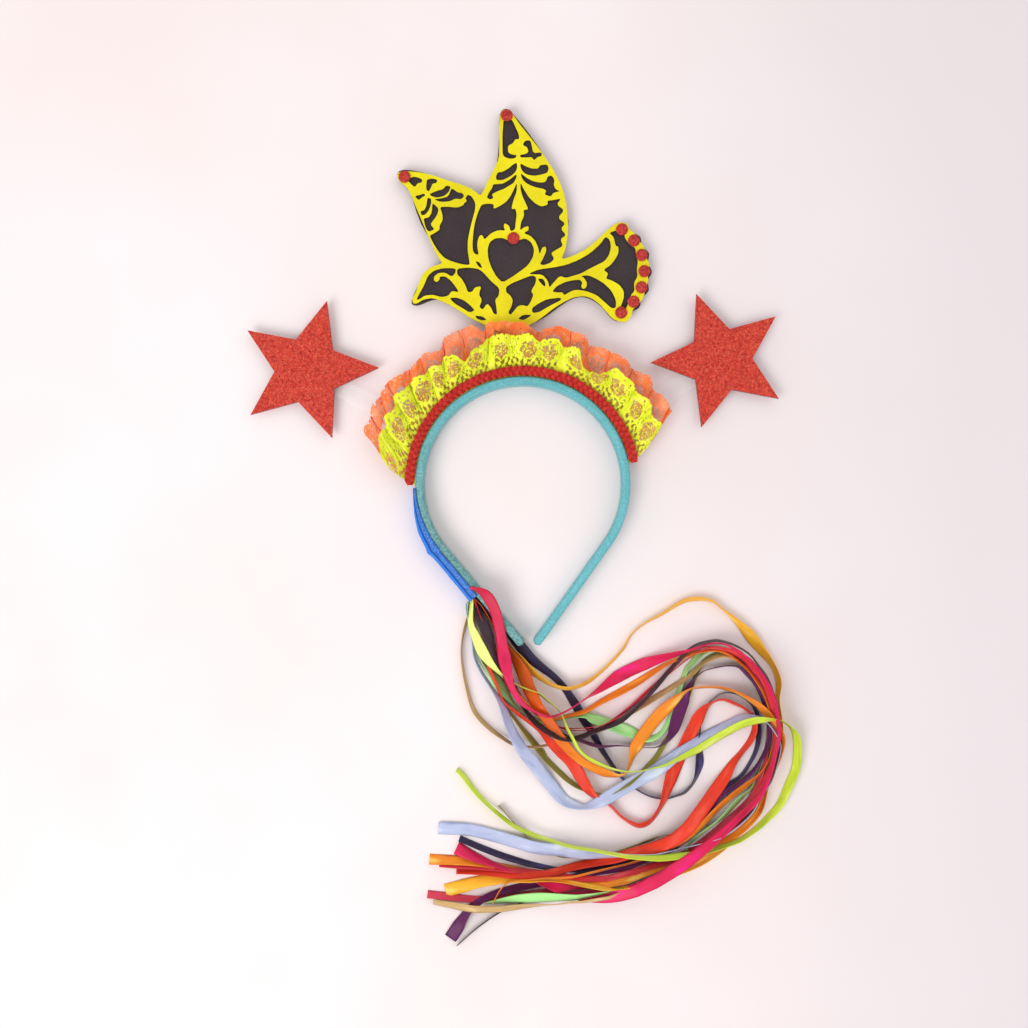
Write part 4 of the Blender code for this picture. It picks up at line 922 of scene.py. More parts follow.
def add_fretwork(look):
    """The yellow sheet, cut from a flat curve whose inner loops are its openings."""
    low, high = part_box("dove_fretwork")
    middle = (low.z + high.z) / 2
    curve = bpy.data.curves.new("dove_fretwork_cut", "CURVE")
    curve.dimensions = "2D"
    curve.fill_mode = "BOTH"
    curve.extrude = (high.z - low.z) / 2
    for points in (FRET_OUTLINE, *FRET_OPENINGS):
        spots = eased(points)
        spline = curve.splines.new("POLY")
        spline.points.add(len(spots) - 1)
        spline.use_cyclic_u = True
        for (x, y), point in zip(spots, spline.points):
            p = from_picture(FRET_CORNER[0] + x / FRET_ENLARGED, FRET_CORNER[1] + y / FRET_ENLARGED, middle)
            point.co = (p.x, p.y, 0, 1)
    shape = bpy.data.objects.new("dove_fretwork_cut", curve)
    bpy.context.collection.objects.link(shape)
    shape.location.z = middle
    bpy.context.view_layer.update()
    mesh = bpy.data.meshes.new_from_object(shape.evaluated_get(bpy.context.evaluated_depsgraph_get()))
    mesh.transform(shape.matrix_world)
    bpy.data.objects.remove(shape)
    sheet = bpy.data.objects.new("dove_fretwork_sheet", mesh)
    bpy.context.collection.objects.link(sheet)
    mesh.materials.clear()
    mesh.materials.append(look)
    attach(sheet, "root")
    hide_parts("dove_fretwork")


# The discs' section from the foot up, as shares of the solid's radius and thickness, and the middle's height
DOT_SECTION = ((0.90, 0.0), (1.0, 0.18), (1.0, 0.55), (0.95, 0.72), (0.84, 0.82), (0.68, 1.1), (0.45, 1.35),
               (0.2, 1.48))
DOT_TOP = 1.5
DOT_SIDES = 40


def add_dots():
    """Each disc is a low dome of glitter with a narrow rim."""
    look = glitter("red_glitter_dot", "7c0c10", "b81e1c", "ea5a48", 2300.0)
    for name in ("dot_wing_big", "dot_wing_small", "dot_heart", *(f"dot_tail_{k}" for k in range(1, 8))):
        low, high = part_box(name)
        centre = (low + high) / 2
        radius, thick = (high.x - low.x) / 2, high.z - low.z
        verts, uvs = [], []
        for share, up in DOT_SECTION:
            for k in range(DOT_SIDES):
                turn = 2 * math.pi * k / DOT_SIDES
                x, y = radius * share * math.cos(turn), radius * share * math.sin(turn)
                verts.append((centre.x + x, centre.y + y, low.z + thick * up))
                uvs.append((k / DOT_SIDES, share))
        faces = tube_faces(0, len(DOT_SECTION), DOT_SIDES, far_cap=False)
        verts.append((centre.x, centre.y, low.z + thick * DOT_TOP))
        uvs.append((0, 0))
        top = (len(DOT_SECTION) - 1) * DOT_SIDES
        for k in range(DOT_SIDES):
            faces.append((top + k, top + (k + 1) % DOT_SIDES, len(verts) - 1))
        dot = make_mesh(f"{name}_glitter", verts, faces, uvs)
        dot.data.materials.append(look)
        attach(dot, "root")
        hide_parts(name)


def dress_stars():
    """Red glitter foam stars with dark sides, on strips of clear film."""
    star = glitter("red_glitter_star", "96140e", "cc2c1c", "f0684c", board_edge="3c3a4a")
    s = Shader("clear_film_stay", "f4f6f8", 0.08)
    s.set("Alpha", 0.1).set("IOR", 1.45)
    s.link(s.ramp(s.noise(s.place(), 40.0), ((0.3, 0.04), (0.7, 0.16))), "Roughness")
    for side in ("left", "right"):
        dress_node(f"star_{side}", star)
        dress_node(f"stay_{side}", s.material)


# Holder and ribbons

HOLDER_START = math.radians(90) * BAND_RADIUS
HOLDER_LENGTH = 66 * MM
HOLDER_STATIONS = 110
# The strip's section as a share of how far it stands out, a height in millimetres, and a place around it
HOLDER_SECTION = (
    (-0.2, 12.25, 0.0), (-0.2, 12.5, 0.02), (0.05, 12.5, 0.1), (0.28, 12.0, 0.2), (0.46, 11.2, 0.33),
    (0.52, 10.3, 0.37), (0.56, 10.1, 0.39), (0.62, 10.6, 0.44), (0.78, 10.5, 0.52), (0.92, 9.9, 0.6),
    (1.0, 8.8, 0.66), (1.0, 4.5, 0.78), (0.97, 0.9, 0.88), (0.9, 0.5, 0.9), (0.1, 0.5, 0.95),
    (0.0, 0.9, 0.98), (0.0, 12.25, 0.99))
# The section's outer fold is past the first value, and its top is above the second one, in millimetres
OUTER_FOLD, HOLDER_TOP = 0.3, 5
PUCKER_AT, PUCKER_LENGTH = 0.49, 0.035


def holder_width(share):
    """How far the strip stands out from the band's outer face, with a small pucker half way down."""
    pucker = 1.1 * MM * math.exp(-((share - PUCKER_AT) / PUCKER_LENGTH) ** 2)
    return 1.5 * MM + 2.9 * MM * smoothstep(0.0, 0.42, share) + 0.3 * MM * share + pucker


def holder_look():
    """A grained inner fold, a dark seam and a smooth outer fold."""
    s = Shader("blue_strip_satin", "1f76d8", 0.4)
    around = s.split(s.place(uv=True))[0]
    streaks = s.noise(s.place((14, 26, 1), uv=True), 6.0, 2.0)
    grain = s.noise(s.place(), 1300.0, 2.0)
    smooth = s.ramp(streaks, ((0.3, "1766c4"), (0.55, "1f7ce2"), (0.78, "4aa2f2")))
    rough = s.ramp(grain, ((0.32, "2050a4"), (0.55, "2c74cc"), (0.72, "62a0e4")))
    inner = s.ramp(around, ((0.0, 1.0), (0.36, 1.0), (0.40, 0.0), (1.0, 0.0)))
    tone = s.mix(inner, smooth, rough)
    seam = s.ramp(around, ((0.30, 0.0), (0.37, 1.0), (0.40, 1.0), (0.45, 0.0)))
    s.link(s.mix(s.math("MULTIPLY", seam, 0.75), tone, "0d3c94"), "Base Color")
    s.set("Anisotropic", 0.4).set("Specular IOR Level", 0.35)
    s.bump(s.math("ADD", streaks, grain), 0.12 * MM, 0.4)
    return s.material


def add_holder():
    """A blue strip pressed round the ribbon ends, with a lip over the band's edge."""
    rings, lengths = [], []
    for i in range(HOLDER_STATIONS + 1):
        share = i / HOLDER_STATIONS
        wide = holder_width(share)
        distance = HOLDER_LENGTH * share
        middle, normal = along_band(HOLDER_START + distance, BAND_THICKNESS / 2 + 0.05 * MM)
        droop = 1.0 * MM * (1 - smoothstep(0.0, 0.06, share))
        ring = []
        for k, (x, z, _) in enumerate(HOLDER_SECTION):
            wave = 0.16 * MM * noise.noise(Vector((share * 26, z * 0.5, k * 0.4)))
            outer = x > OUTER_FOLD
            up = z * MM - (droop if outer and z > HOLDER_TOP else 0.0) + wave * 1.2
            ring.append(middle + normal * (x * wide + (wave if outer else 0)) + upright(max(up, 0.3 * MM)))
        rings.append(ring)
        lengths.append(distance)
    around = [place for _, _, place in HOLDER_SECTION]
    holder = loft("ribbon_holder_strip", rings, holder_look(), around, lengths)
    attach(holder, "root")
    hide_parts("ribbon_holder")


# Each ribbon from the lowest to the top one: its colour, a dark and a light one (painted shade and painted
# highlights of its satin, also the tones of its threads), the side to which it leans where it stands on edge,
# and its way in the photograph: pixels right and down, and the width shown in tenths
RIBBONS = (
    ("navy", "2e2238", "1c1420", "4c4a8e", 1, (
        (472, 600, 1), (484, 608, 2), (494, 616, 3), (507, 630, 7), (516, 641, 9), (529, 657, 9),
        (542, 668, 8), (555, 678, 7), (565, 689, 7), (575, 704, 8), (584, 720, 8), (593, 734, 7),
        (602, 750, 6), (610, 762, 5), (622, 778, 4), (636, 790, 2), (652, 798, 3), (666, 800, 3),
        (677, 797, 4), (686, 793, 5), (695, 782, 5), (700, 766, 8), (700, 752, 7), (700, 738, 3),
        (701, 727, 2), (704, 711, 1), (713, 700, 2), (723, 694, 2), (735, 694, 2), (747, 700, 2),
        (756, 709, 3), (760, 723, 4), (760, 738, 4), (757, 752, 3), (750, 766, 2), (741, 778, 2),
        (729, 786, 3), (720, 794, 4), (706, 810, 5), (682, 834, 5), (650, 855, 4), (610, 868, 4),
        (570, 872, 3), (540, 868, 4), (510, 860, 5), (485, 851, 5), (459, 840, 5))),
    ("golden", "f7b41a", "e29a12", "ffde6c", 1, (
        (474, 600, 1), (484, 612, 2), (497, 628, 3), (509, 646, 4), (519, 658, 7), (529, 669, 7),
        (539, 677, 6), (552, 685, 5), (568, 688, 5), (587, 683, 5), (606, 668, 4), (623, 650, 4),
        (631, 636, 3), (643, 625, 3), (663, 614, 4), (683, 602, 5), (698, 599, 5), (712, 601, 3),
        (722, 608, 1), (736, 620, 5), (751, 636, 9), (762, 650, 8), (774, 666, 5), (780, 683, 5),
        (779, 700, 3), (782, 722, 3), (782, 736, 3), (774, 761, 3), (766, 790, 3), (757, 810, 3),
        (738, 838, 2), (700, 866, 3), (650, 879, 3), (600, 880, 3), (555, 877, 3), (519, 878, 6),
        (500, 880, 8), (478, 884, 9), (460, 889, 10), (445, 893, 10))),
    ("olive", "8a8428", "67611a", "a9a544", -1, (
        (470, 604, 1), (480, 630, 1), (493, 668, 1), (505, 705, 2), (517, 723, 3), (529, 738, 5),
        (542, 754, 6), (546, 760, 5), (561, 775, 5), (573, 785, 4), (584, 791, 2), (605, 796, 2),
        (627, 785, 2), (645, 770, 3), (657, 758, 4), (665, 745, 4), (676, 728, 4), (684, 712, 3),
        (690, 695, 3), (697, 676, 3), (706, 661, 3), (722, 654, 3), (740, 662, 3), (755, 682, 3),
        (764, 705, 3), (768, 735, 3), (762, 765, 3), (750, 790, 4), (735, 808, 4), (712, 826, 4),
        (665, 836, 3), (649, 842, 5), (629, 849, 3), (600, 858, 2), (575, 859, 2), (555, 856, 2),
        (530, 840, 2), (513, 823, 2), (499, 807, 2))),
    ("mint", "a8ec90", "86cf74", "c8f8b0", -1, (
        (468, 606, 1), (473, 630, 2), (482, 659, 4), (491, 672, 7), (499, 685, 9), (508, 698, 6),
        (517, 708, 2), (540, 722, 3), (565, 718, 3), (584, 715, 5), (593, 719, 8), (612, 726, 9),
        (631, 733, 9), (648, 740, 6), (660, 736, 4), (668, 725, 4), (675, 708, 4), (686, 673, 4),
        (692, 665, 5), (700, 656, 5), (711, 650, 4), (723, 650, 4), (735, 656, 3), (750, 672, 3),
        (762, 695, 3), (768, 720, 3), (766, 755, 4), (754, 786, 5), (739, 799, 6), (718, 820, 5),
        (690, 845, 5), (680, 870, 5), (660, 880, 6), (619, 884, 4), (590, 890, 6), (564, 894, 8),
        (536, 896, 9), (513, 898, 8), (486, 903, 5))),
    ("beige", "c9a468", "a07c48", "e4c890", -1, (
        (465, 600, 3), (465, 626, 3), (461, 647, 1), (462, 666, 2), (467, 691, 3), (474, 712, 4),
        (488, 728, 4), (504, 740, 3), (514, 745, 2), (534, 747, 1), (555, 744, 1), (590, 735, 1),
        (617, 722, 3), (640, 708, 5), (655, 699, 5), (674, 687, 4), (692, 674, 4), (704, 663, 3),
        (720, 656, 4), (732, 657, 4), (743, 665, 3), (755, 677, 3), (764, 694, 3), (769, 711, 3),
        (773, 740, 3), (766, 775, 3), (750, 806, 3), (722, 836, 3), (690, 860, 4), (650, 880, 5),
        (606, 892, 6), (573, 898, 5), (553, 903, 4), (520, 907, 7), (486, 908, 8), (458, 906, 8),
        (433, 903, 7))),
    ("coral", "e0405a", "b82c44", "f4788a", 1, (
        (476, 610, 1), (488, 636, 1), (500, 664, 1), (525, 700, 1), (560, 728, 1), (593, 729, 2),
        (614, 719, 4), (631, 707, 5), (650, 690, 5), (666, 676, 5), (682, 660, 4), (697, 650, 3),
        (712, 647, 3), (728, 650, 3), (744, 662, 3), (756, 679, 4), (765, 702, 4), (769, 730, 3),
        (764, 765, 3), (752, 797, 3), (728, 822, 4), (698, 846, 4), (660, 866, 3), (620, 881, 3),
        (580, 890, 3), (540, 894, 4), (505, 899, 5), (475, 901, 5), (445, 898, 6), (427, 896, 6))),
    ("purple", "5a1442", "3f0e32", "80409c", 1, (
        (474, 600, 2), (483, 608, 5), (489, 614, 5), (497, 630, 3), (505, 655, 2), (518, 690, 2),
        (540, 718, 2), (565, 735, 3), (584, 742, 5), (599, 746, 5), (619, 746, 3), (631, 747, 2),
        (647, 748, 2), (657, 747, 3), (666, 741, 5), (673, 730, 9), (678, 715, 10), (683, 701, 10),
        (688, 688, 7), (694, 679, 4), (704, 671, 2), (715, 668, 2), (727, 666, 2), (739, 667, 3),
        (747, 674, 4), (755, 684, 3), (761, 696, 3), (766, 711, 3), (768, 726, 3), (768, 740, 3),
        (763, 755, 2), (755, 769, 2), (743, 780, 3), (730, 789, 4), (718, 797, 6), (708, 811, 7),
        (690, 832, 6), (664, 852, 5), (630, 866, 4), (590, 875, 4), (550, 883, 5), (520, 889, 6),
        (492, 896, 5), (473, 906, 6), (463, 920, 8), (457, 930, 10), (450, 941, 10))),
    ("amber", "ef7f18", "c65f0c", "ffa63c", -1, (
        (478, 612, 1), (492, 640, 1), (505, 670, 1), (525, 700, 1), (551, 718, 2), (568, 716, 3),
        (585, 711, 4), (602, 702, 5), (622, 692, 6), (638, 683, 6), (652, 674, 5), (672, 662, 3),
        (697, 652, 3), (721, 651, 3), (742, 665, 3), (758, 686, 4), (768, 708, 4), (774, 732, 4),
        (770, 757, 5), (760, 772, 5), (743, 786, 7), (723, 802, 7), (700, 822, 7), (670, 845, 6),
        (630, 862, 5), (580, 872, 5), (541, 874, 4), (508, 880, 3), (493, 902, 2))),
    ("crimson", "d8303c", "a81c2c", "f0606a", 1, (
        (480, 614, 1), (494, 650, 1), (512, 694, 1), (562, 727, 1), (620, 716, 2), (660, 682, 2),
        (700, 650, 3), (722, 648, 5), (738, 654, 6), (749, 662, 6), (760, 678, 5), (767, 694, 6),
        (772, 711, 6), (774, 727, 5), (773, 745, 3), (771, 761, 3), (764, 778, 5), (759, 788, 5),
        (750, 805, 4), (742, 817, 5), (715, 838, 5), (680, 856, 6), (640, 868, 5), (590, 875, 4),
        (550, 873, 4), (510, 870, 4), (470, 868, 5), (439, 866, 4))),
    ("red_orange", "e4341c", "bd2812", "f4583e", 1, (
        (470, 604, 3), (476, 615, 4), (481, 628, 3), (483, 645, 2), (488, 664, 4), (496, 682, 4),
        (504, 701, 3), (517, 713, 5), (529, 722, 5), (541, 731, 6), (551, 742, 8), (562, 752, 10),
        (573, 764, 10), (586, 786, 9), (597, 798, 6), (611, 807, 4), (622, 818, 4), (636, 826, 6),
        (644, 826, 7), (652, 821, 6), (660, 808, 6), (665, 795, 8), (672, 778, 10), (681, 757, 10),
        (689, 738, 10), (697, 720, 10), (704, 709, 8), (714, 702, 4), (724, 700, 4), (735, 704, 4),
        (747, 710, 3), (755, 718, 4), (756, 730, 5), (752, 741, 5), (743, 753, 4), (734, 764, 6),
        (725, 778, 9), (711, 795, 10), (696, 812, 10), (680, 829, 10), (660, 843, 9), (630, 853, 8),
        (600, 862, 7), (570, 868, 6), (540, 873, 6), (510, 874, 5), (480, 873, 5), (456, 873, 4))),
    ("orange", "f5850f", "cc4c10", "ffd264", 1, (
        (482, 606, 1), (494, 626, 2), (508, 648, 5), (516, 660, 8), (524, 675, 10), (530, 690, 10),
        (538, 705, 9), (550, 722, 9), (562, 740, 9), (575, 755, 8), (590, 766, 8), (606, 773, 8),
        (619, 775, 5), (627, 771, 4), (631, 760, 6), (636, 746, 10), (649, 728, 10), (663, 711, 10),
        (676, 698, 8), (689, 689, 4), (704, 687, 4), (722, 688, 4), (739, 693, 4), (756, 703, 6),
        (767, 714, 7), (776, 727, 5), (780, 740, 4), (776, 761, 4), (767, 786, 4), (759, 811, 5),
        (736, 836, 6), (700, 856, 6), (660, 868, 6), (610, 877, 5), (570, 877, 4), (535, 874, 4),
        (500, 868, 5), (470, 863, 7), (429, 861, 8))),
    ("black", "3a2c33", "1f171b", "62505a", -1, (
        (472, 600, 4), (478, 611, 7), (485, 627, 9), (490, 641, 8), (495, 656, 4), (501, 671, 2),
        (512, 688, 2), (522, 705, 3), (532, 718, 5), (546, 729, 5), (562, 736, 4), (578, 736, 4),
        (599, 728, 4), (619, 719, 5), (638, 704, 4), (647, 696, 3), (657, 684, 4), (671, 668, 3),
        (684, 654, 2), (697, 646, 3), (709, 642, 2), (720, 641, 2), (734, 645, 2), (747, 653, 2),
        (756, 665, 3), (765, 677, 3), (772, 692, 2), (777, 707, 2), (778, 726, 2), (777, 749, 2),
        (772, 766, 2), (764, 787, 2), (753, 801, 2), (742, 816, 2), (710, 843, 2), (670, 863, 2),
        (620, 877, 2), (570, 888, 2), (530, 901, 2), (502, 913, 3), (478, 929, 3), (457, 947, 3))),
    ("pale_blue", "b4bfe2", "8f9bc4", "dfe6fb", -1, (
        (466, 606, 1), (472, 639, 2), (474, 657, 2), (481, 672, 3), (491, 687, 3), (499, 699, 5),
        (505, 713, 7), (510, 727, 8), (519, 744, 9), (532, 761, 10), (551, 786, 10), (564, 801, 9),
        (576, 806, 7), (586, 807, 5), (596, 803, 8), (611, 795, 10), (636, 781, 10), (660, 768, 10),
        (686, 749, 8), (709, 735, 7), (732, 723, 6), (743, 717, 5), (755, 716, 3), (764, 720, 2),
        (772, 730, 2), (777, 743, 2), (775, 760, 2), (769, 778, 2), (757, 793, 2), (748, 808, 2),
        (728, 828, 3), (700, 841, 3), (660, 850, 4), (622, 853, 6), (586, 854, 9), (561, 850, 10),
        (536, 848, 10), (503, 840, 10), (470, 832, 10), (438, 830, 10))),
    ("lime", "cdea34", "a6c81e", "effe88", 1, (
        (467, 602, 3), (471, 621, 6), (476, 635, 8), (483, 650, 9), (492, 663, 7), (505, 676, 3),
        (520, 685, 3), (533, 690, 2), (540, 693, 3), (548, 700, 3), (557, 707, 2), (563, 716, 1),
        (566, 724, 3), (573, 737, 4), (580, 749, 4), (593, 759, 5), (612, 767, 4), (635, 770, 3),
        (653, 767, 3), (666, 764, 5), (683, 756, 7), (701, 747, 8), (722, 734, 8), (742, 722, 8),
        (759, 717, 7), (776, 718, 3), (787, 724, 2), (795, 734, 6), (798, 749, 7), (797, 769, 7),
        (790, 787, 7), (781, 806, 6), (769, 819, 5), (756, 830, 4), (735, 841, 3), (710, 848, 3),
        (680, 852, 5), (660, 853, 5), (630, 852, 3), (600, 849, 2), (570, 845, 2), (550, 840, 2),
        (535, 836, 3), (520, 829, 3), (505, 820, 3), (490, 808, 3), (475, 793, 4), (462, 776, 4),
        (456, 771, 3))),
    ("hot_pink", "dc2450", "b0183a", "fa1e84", 1, (
        (470, 587, 3), (478, 589, 6), (487, 595, 9), (495, 609, 9), (499, 625, 9), (502, 642, 9),
        (505, 660, 10), (511, 682, 7), (521, 700, 6), (536, 710, 4), (551, 714, 4), (567, 709, 3),
        (585, 699, 3), (600, 690, 7), (620, 678, 10), (645, 666, 10), (672, 656, 7), (693, 649, 4),
        (708, 644, 3), (722, 643, 2), (737, 650, 3), (755, 667, 3), (767, 688, 3), (773, 710, 3),
        (774, 735, 3), (768, 768, 3), (757, 790, 4), (735, 815, 5), (700, 845, 8), (668, 866, 10),
        (640, 880, 10), (612, 891, 10), (588, 892, 10), (565, 888, 9), (545, 881, 7), (525, 874, 4),
        (502, 868, 3), (478, 860, 7), (456, 850, 10))),
)
RIBBON_WIDTH = 7 * MM
RIBBON_THICKNESS = 0.3 * MM
RIBBON_STEP = 1.6 * MM
RIBBON_COLUMNS = 6
# How much narrower a ribbon is where it stands on edge, and the least and most of its width that shows
EDGE_SHRINK = 0.45
LEAST_SHOWN, MOST_SHOWN = 0.12, 0.99
# The side of the square cells in which the floor's height is kept
CELL = 0.8 * MM
CURVE_STEPS = 8
# This ribbon alone climbs over the band's leg, in the photograph above this row
OVER_LEG = "hot_pink"
LEG_FOOT = 680
LEG_JOINT = 12 * MM
LEG_STATIONS, LEG_COLUMNS = 400, 4
# The heights at which the routes are read off the photograph: over the leg, and elsewhere
READ_OVER_LEG, READ_HEIGHT = 9 * MM, 5 * MM
# A route's points left of and above the first corner are under the holder, and what is left of and below the
# second one is the tail
HOLDER_END = (520, 606)
TAIL_CORNER = (606, 800)
# In the tail, where the ribbons cross once more, they lie in another order: from the lowest to the top one
TAIL_ORDER = ("navy", "coral", "purple", "black", "orange", "hot_pink", "mint", "golden", "beige", "crimson",
              "red_orange", "amber", "olive", "pale_blue", "lime")
# The steepest slope of a ribbon, the clearance to the one below, and how far one may rise over the CAD model
STEEPEST = 0.42
CLEARANCE = 0.12 * MM
HIGHEST = CAD_HIGH.z + 6.0 * MM
SMOOTHINGS = 60
# Under the holder a ribbon counts for no other one, and past its end it comes away from the glued bundle
GLUED_LENGTH = 13 * MM
RELEASE_START, RELEASE_END = 6 * MM, 24 * MM
# The bundle in millimetres: how far out and how high its first ribbon is, and how much further each next one
BUNDLE_OUT, BUNDLE_OUT_STEP = 0.7, 0.17
BUNDLE_HEIGHT, BUNDLE_HEIGHT_STEP = 3.6, 0.3
# Each ribbon's places in it: how many millimetres before the holder's end, and the share of the width shown
BUNDLE_PLACES = ((7.0, 0.30), (0.5, 0.36))
FLOOR_GAP = 0.05 * MM


def through(points, steps):
    """A Catmull-Rom curve through the points, of any number of values each."""
    result = []
    padded = [points[0], *points, points[-1]]
    for i in range(1, len(padded) - 2):
        a, b, c, d = padded[i - 1], padded[i], padded[i + 1], padded[i + 2]
        for k in range(steps):
            t = k / steps
            result.append(tuple(
                0.5 * (2 * q + (r - p) * t + (2 * p - 5 * q + 4 * r - s) * t * t
                       + (3 * q - p - 3 * r + s) * t ** 3)
                for p, q, r, s in zip(a, b, c, d)
            ))
    result.append(tuple(float(v) for v in points[-1]))
    return result


def spaced(points, step):
    """Points at even steps along the curve, by its first two values."""
    lengths = [0.0]
    for a, b in zip(points, points[1:]):
        lengths.append(lengths[-1] + math.hypot(b[0] - a[0], b[1] - a[1]))
    count = max(2, round(lengths[-1] / step))
    result = []
    j = 0
    for i in range(count + 1):
        want = lengths[-1] * i / count
        while j < len(lengths) - 2 and lengths[j + 1] < want:
            j += 1
        t = (want - lengths[j]) / max(lengths[j + 1] - lengths[j], 1e-9)
        result.append(tuple(a + (b - a) * t for a, b in zip(points[j], points[j + 1])))
    return result, lengths[-1]


def leg_top():
    """The top of the band's left leg in cells, which one ribbon climbs over."""
    cells = {}
    for i in range(LEG_STATIONS):
        distance = HALF_ARC * BAND_RADIUS - LEG_JOINT + (LEG_LENGTH + LEG_JOINT) * i / LEG_STATIONS
        for k in range(-LEG_COLUMNS, LEG_COLUMNS + 1):
            p, _ = along_band(distance, k / LEG_COLUMNS * BAND_THICKNESS / 2)
            cells[round(p.x / CELL), round(p.y / CELL)] = BAND_WIDTH + 0.1 * MM
    return cells


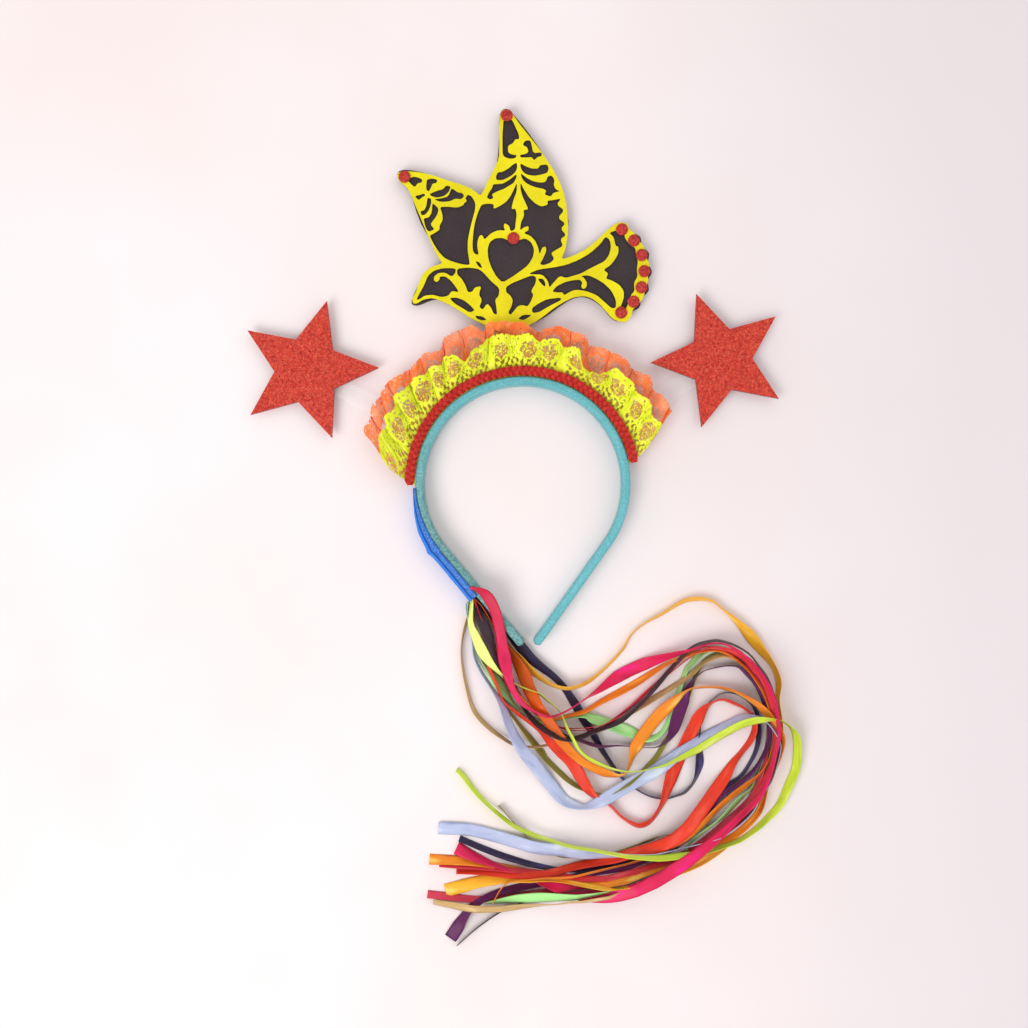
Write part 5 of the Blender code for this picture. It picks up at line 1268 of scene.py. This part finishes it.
class Ribbon:
    """A strip that follows its route, leans by how wide it shows, and settles on what lies below it."""

    def __init__(self, rank, name, side, route):
        self.rank, self.name, self.over_leg = rank, name, name == OVER_LEG
        self.way, self.length = spaced(through(self.stations(route), CURVE_STEPS), RIBBON_STEP)
        count = len(self.way)
        self.step = self.length / (count - 1)
        corner = from_picture(*TAIL_CORNER, READ_HEIGHT)
        self.in_tail = [x < corner.x and y < corner.y for x, y, _ in self.way]
        self.tilts, self.acrosses = [], []
        for i, (_, _, width) in enumerate(self.way):
            ahead = self.way[min(i + 1, count - 1)]
            behind = self.way[max(i - 1, 0)]
            on = Vector((ahead[0] - behind[0], ahead[1] - behind[1], 0)).normalized()
            self.acrosses.append(Vector((-on.y, on.x, 0)))
            self.tilts.append(side * math.acos(min(max(width, LEAST_SHOWN), MOST_SHOWN)))
        self.halves = [RIBBON_WIDTH / 2 * (1 - EDGE_SHRINK * abs(math.sin(t)) ** 2) for t in self.tilts]
        self.needed = [half * abs(math.sin(t)) + FLOOR_GAP for half, t in zip(self.halves, self.tilts)]
        self.heights = list(self.needed)

    def stations(self, route):
        """The route from the glued end under the holder on: x, y and the share of the width that shows."""
        result = []
        if not self.over_leg:
            offset = BAND_THICKNESS / 2 + (BUNDLE_OUT + BUNDLE_OUT_STEP * self.rank) * MM
            for back, share in BUNDLE_PLACES:
                p, _ = along_band(HOLDER_START + HOLDER_LENGTH - back * MM, offset)
                result.append((p.x, p.y, share))
        for px, py, width in route:
            if px < HOLDER_END[0] and py < HOLDER_END[1] and not self.over_leg:
                continue
            p = from_picture(px, py, READ_OVER_LEG if self.over_leg and py < LEG_FOOT else READ_HEIGHT)
            result.append((p.x, p.y, width / 10))
        return result

    def cells(self, i):
        """The floor cells under a cross-section, and how much higher the ribbon is there than its middle."""
        lean = math.tan(self.tilts[i])
        reach = self.halves[i] * math.cos(self.tilts[i])
        steps = max(1, math.ceil(2 * reach / CELL))
        x, y, _ = self.way[i]
        for k in range(steps + 1):
            t = -reach + 2 * reach * k / steps
            p = Vector((x, y, 0)) + self.acrosses[i] * t
            yield (round(p.x / CELL), round(p.y / CELL)), t * lean

    def settle(self, floor, leg, tail):
        """Lays the ribbon's part in or before the tail on what is there, and smooths the whole of it."""
        count = len(self.way)
        for i in range(count):
            if self.in_tail[i] != tail:
                continue
            least = self.needed[i]
            for key, rise in self.cells(i):
                under = floor.get(key, 0.0)
                if self.over_leg:
                    under = max(under, leg.get(key, 0.0))
                least = max(least, under + CLEARANCE - rise)
            self.needed[i] = min(least, HIGHEST - self.halves[i] * abs(math.sin(self.tilts[i])))
        # The ribbon is stiff enough to bridge small gaps and slopes gently
        heights = list(self.needed)
        for i in range(1, count):
            heights[i] = max(heights[i], heights[i - 1] - STEEPEST * self.step)
        for i in range(count - 2, -1, -1):
            heights[i] = max(heights[i], heights[i + 1] - STEEPEST * self.step)
        for _ in range(SMOOTHINGS):
            smooth = [(heights[i - 1] + 2 * heights[i] + heights[i + 1]) / 4 for i in range(1, count - 1)]
            smooth = [heights[0], *smooth, heights[-1]]
            heights = [max(s, n) for s, n in zip(smooth, self.needed)]
        for i in range(count):
            distance = i * self.step
            if not self.over_leg:
                root = (BUNDLE_HEIGHT + BUNDLE_HEIGHT_STEP * self.rank) * MM
                heights[i] = root + (heights[i] - root) * smoothstep(RELEASE_START, RELEASE_END, distance)
            if self.in_tail[i] != tail or (distance < GLUED_LENGTH and not self.over_leg):
                continue
            for key, rise in self.cells(i):
                floor[key] = max(floor.get(key, 0.0), heights[i] + rise + RIBBON_THICKNESS)
        self.heights = heights

    def build(self, look):
        """A thin strip, a little bowed across its width."""
        shares = [2 * k / RIBBON_COLUMNS - 1 for k in range(RIBBON_COLUMNS + 1)]
        rings, lengths = [], []
        for i, (x, y, _) in enumerate(self.way):
            tilt = self.tilts[i]
            flat = self.acrosses[i] * math.cos(tilt) + upright(math.sin(tilt))
            up = upright(math.cos(tilt)) - self.acrosses[i] * math.sin(tilt)
            start = Vector((x, y, self.heights[i]))
            bow = 0.35 * MM * math.sin(i * 0.11 + self.rank)
            bottom = [start + flat * self.halves[i] * c + up * bow * (1 - c * c) for c in shares]
            top = [spot + up * RIBBON_THICKNESS for spot in bottom]
            rings.append(top + bottom[::-1])
            lengths.append(i * self.step)
        around = [k / RIBBON_COLUMNS for k in range(RIBBON_COLUMNS + 1)]
        return loft(f"ribbon_{self.name}", rings, look, around + around[::-1], lengths)


def add_ribbons():
    """All ribbons settle up to the tail in one order, and then in the tail in another one."""
    leg = leg_top()
    ribbons = {}
    for rank, (name, _, _, _, side, route) in enumerate(RIBBONS):
        ribbons[name] = Ribbon(rank, name, side, route)
    floor = {}
    for ribbon in ribbons.values():
        ribbon.settle(floor, leg, False)
    floor = {}
    for name in TAIL_ORDER:
        ribbons[name].settle(floor, leg, True)
    for name, code, dark, light, _, _ in RIBBONS:
        strip = ribbons[name].build(satin(f"satin_{name}", code, dark, light))
        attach(strip, "root")
        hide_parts("ribbon_streamers")


# The scene

add_camera()
add_floor()
add_lamp("key", (-0.75, -0.62, 1.15), 0.95, 10.8, (1.0, 0.985, 0.97))
add_lamp("fill", (0.9, 0.7, 1.5), 1.6, 4.0, (1.0, 0.98, 0.97))
add_sky()
add_band()
add_band_lap()
add_braid()
add_braid_shade_bed()
add_lace("lace_back_net", "lace_back", True, 32 * MM, 3.6 * MM, 2.7 * MM, (
    lace_material("orange_lace_close", "ff7e2e", "fa641c", "ffaa78", 0.8),
    lace_material("orange_lace_net", "d0744a", "a05c44", "f6945c"),
    lace_material("orange_lace_open", "f8824a", "dc6a3c", "ffb088")))
add_lace("lace_front_net", "lace_front", False, 23.5 * MM, 7.0 * MM, 4.0 * MM, (
    lace_material("yellow_lace_close", "eaf21c", "cede12", "f8fb64"),
    lace_material("yellow_lace_net", "dcbc60", "cc7e40", "e4e468"),
    # painted shade: the yellow lace's open work and hole rims are dark green, as the shade seen through them
    lace_material("yellow_lace_open_shade", "7c9c28", "3c6a24", "d4e838")))
dress_dove()
add_dots()
dress_stars()
add_holder()
add_ribbons()
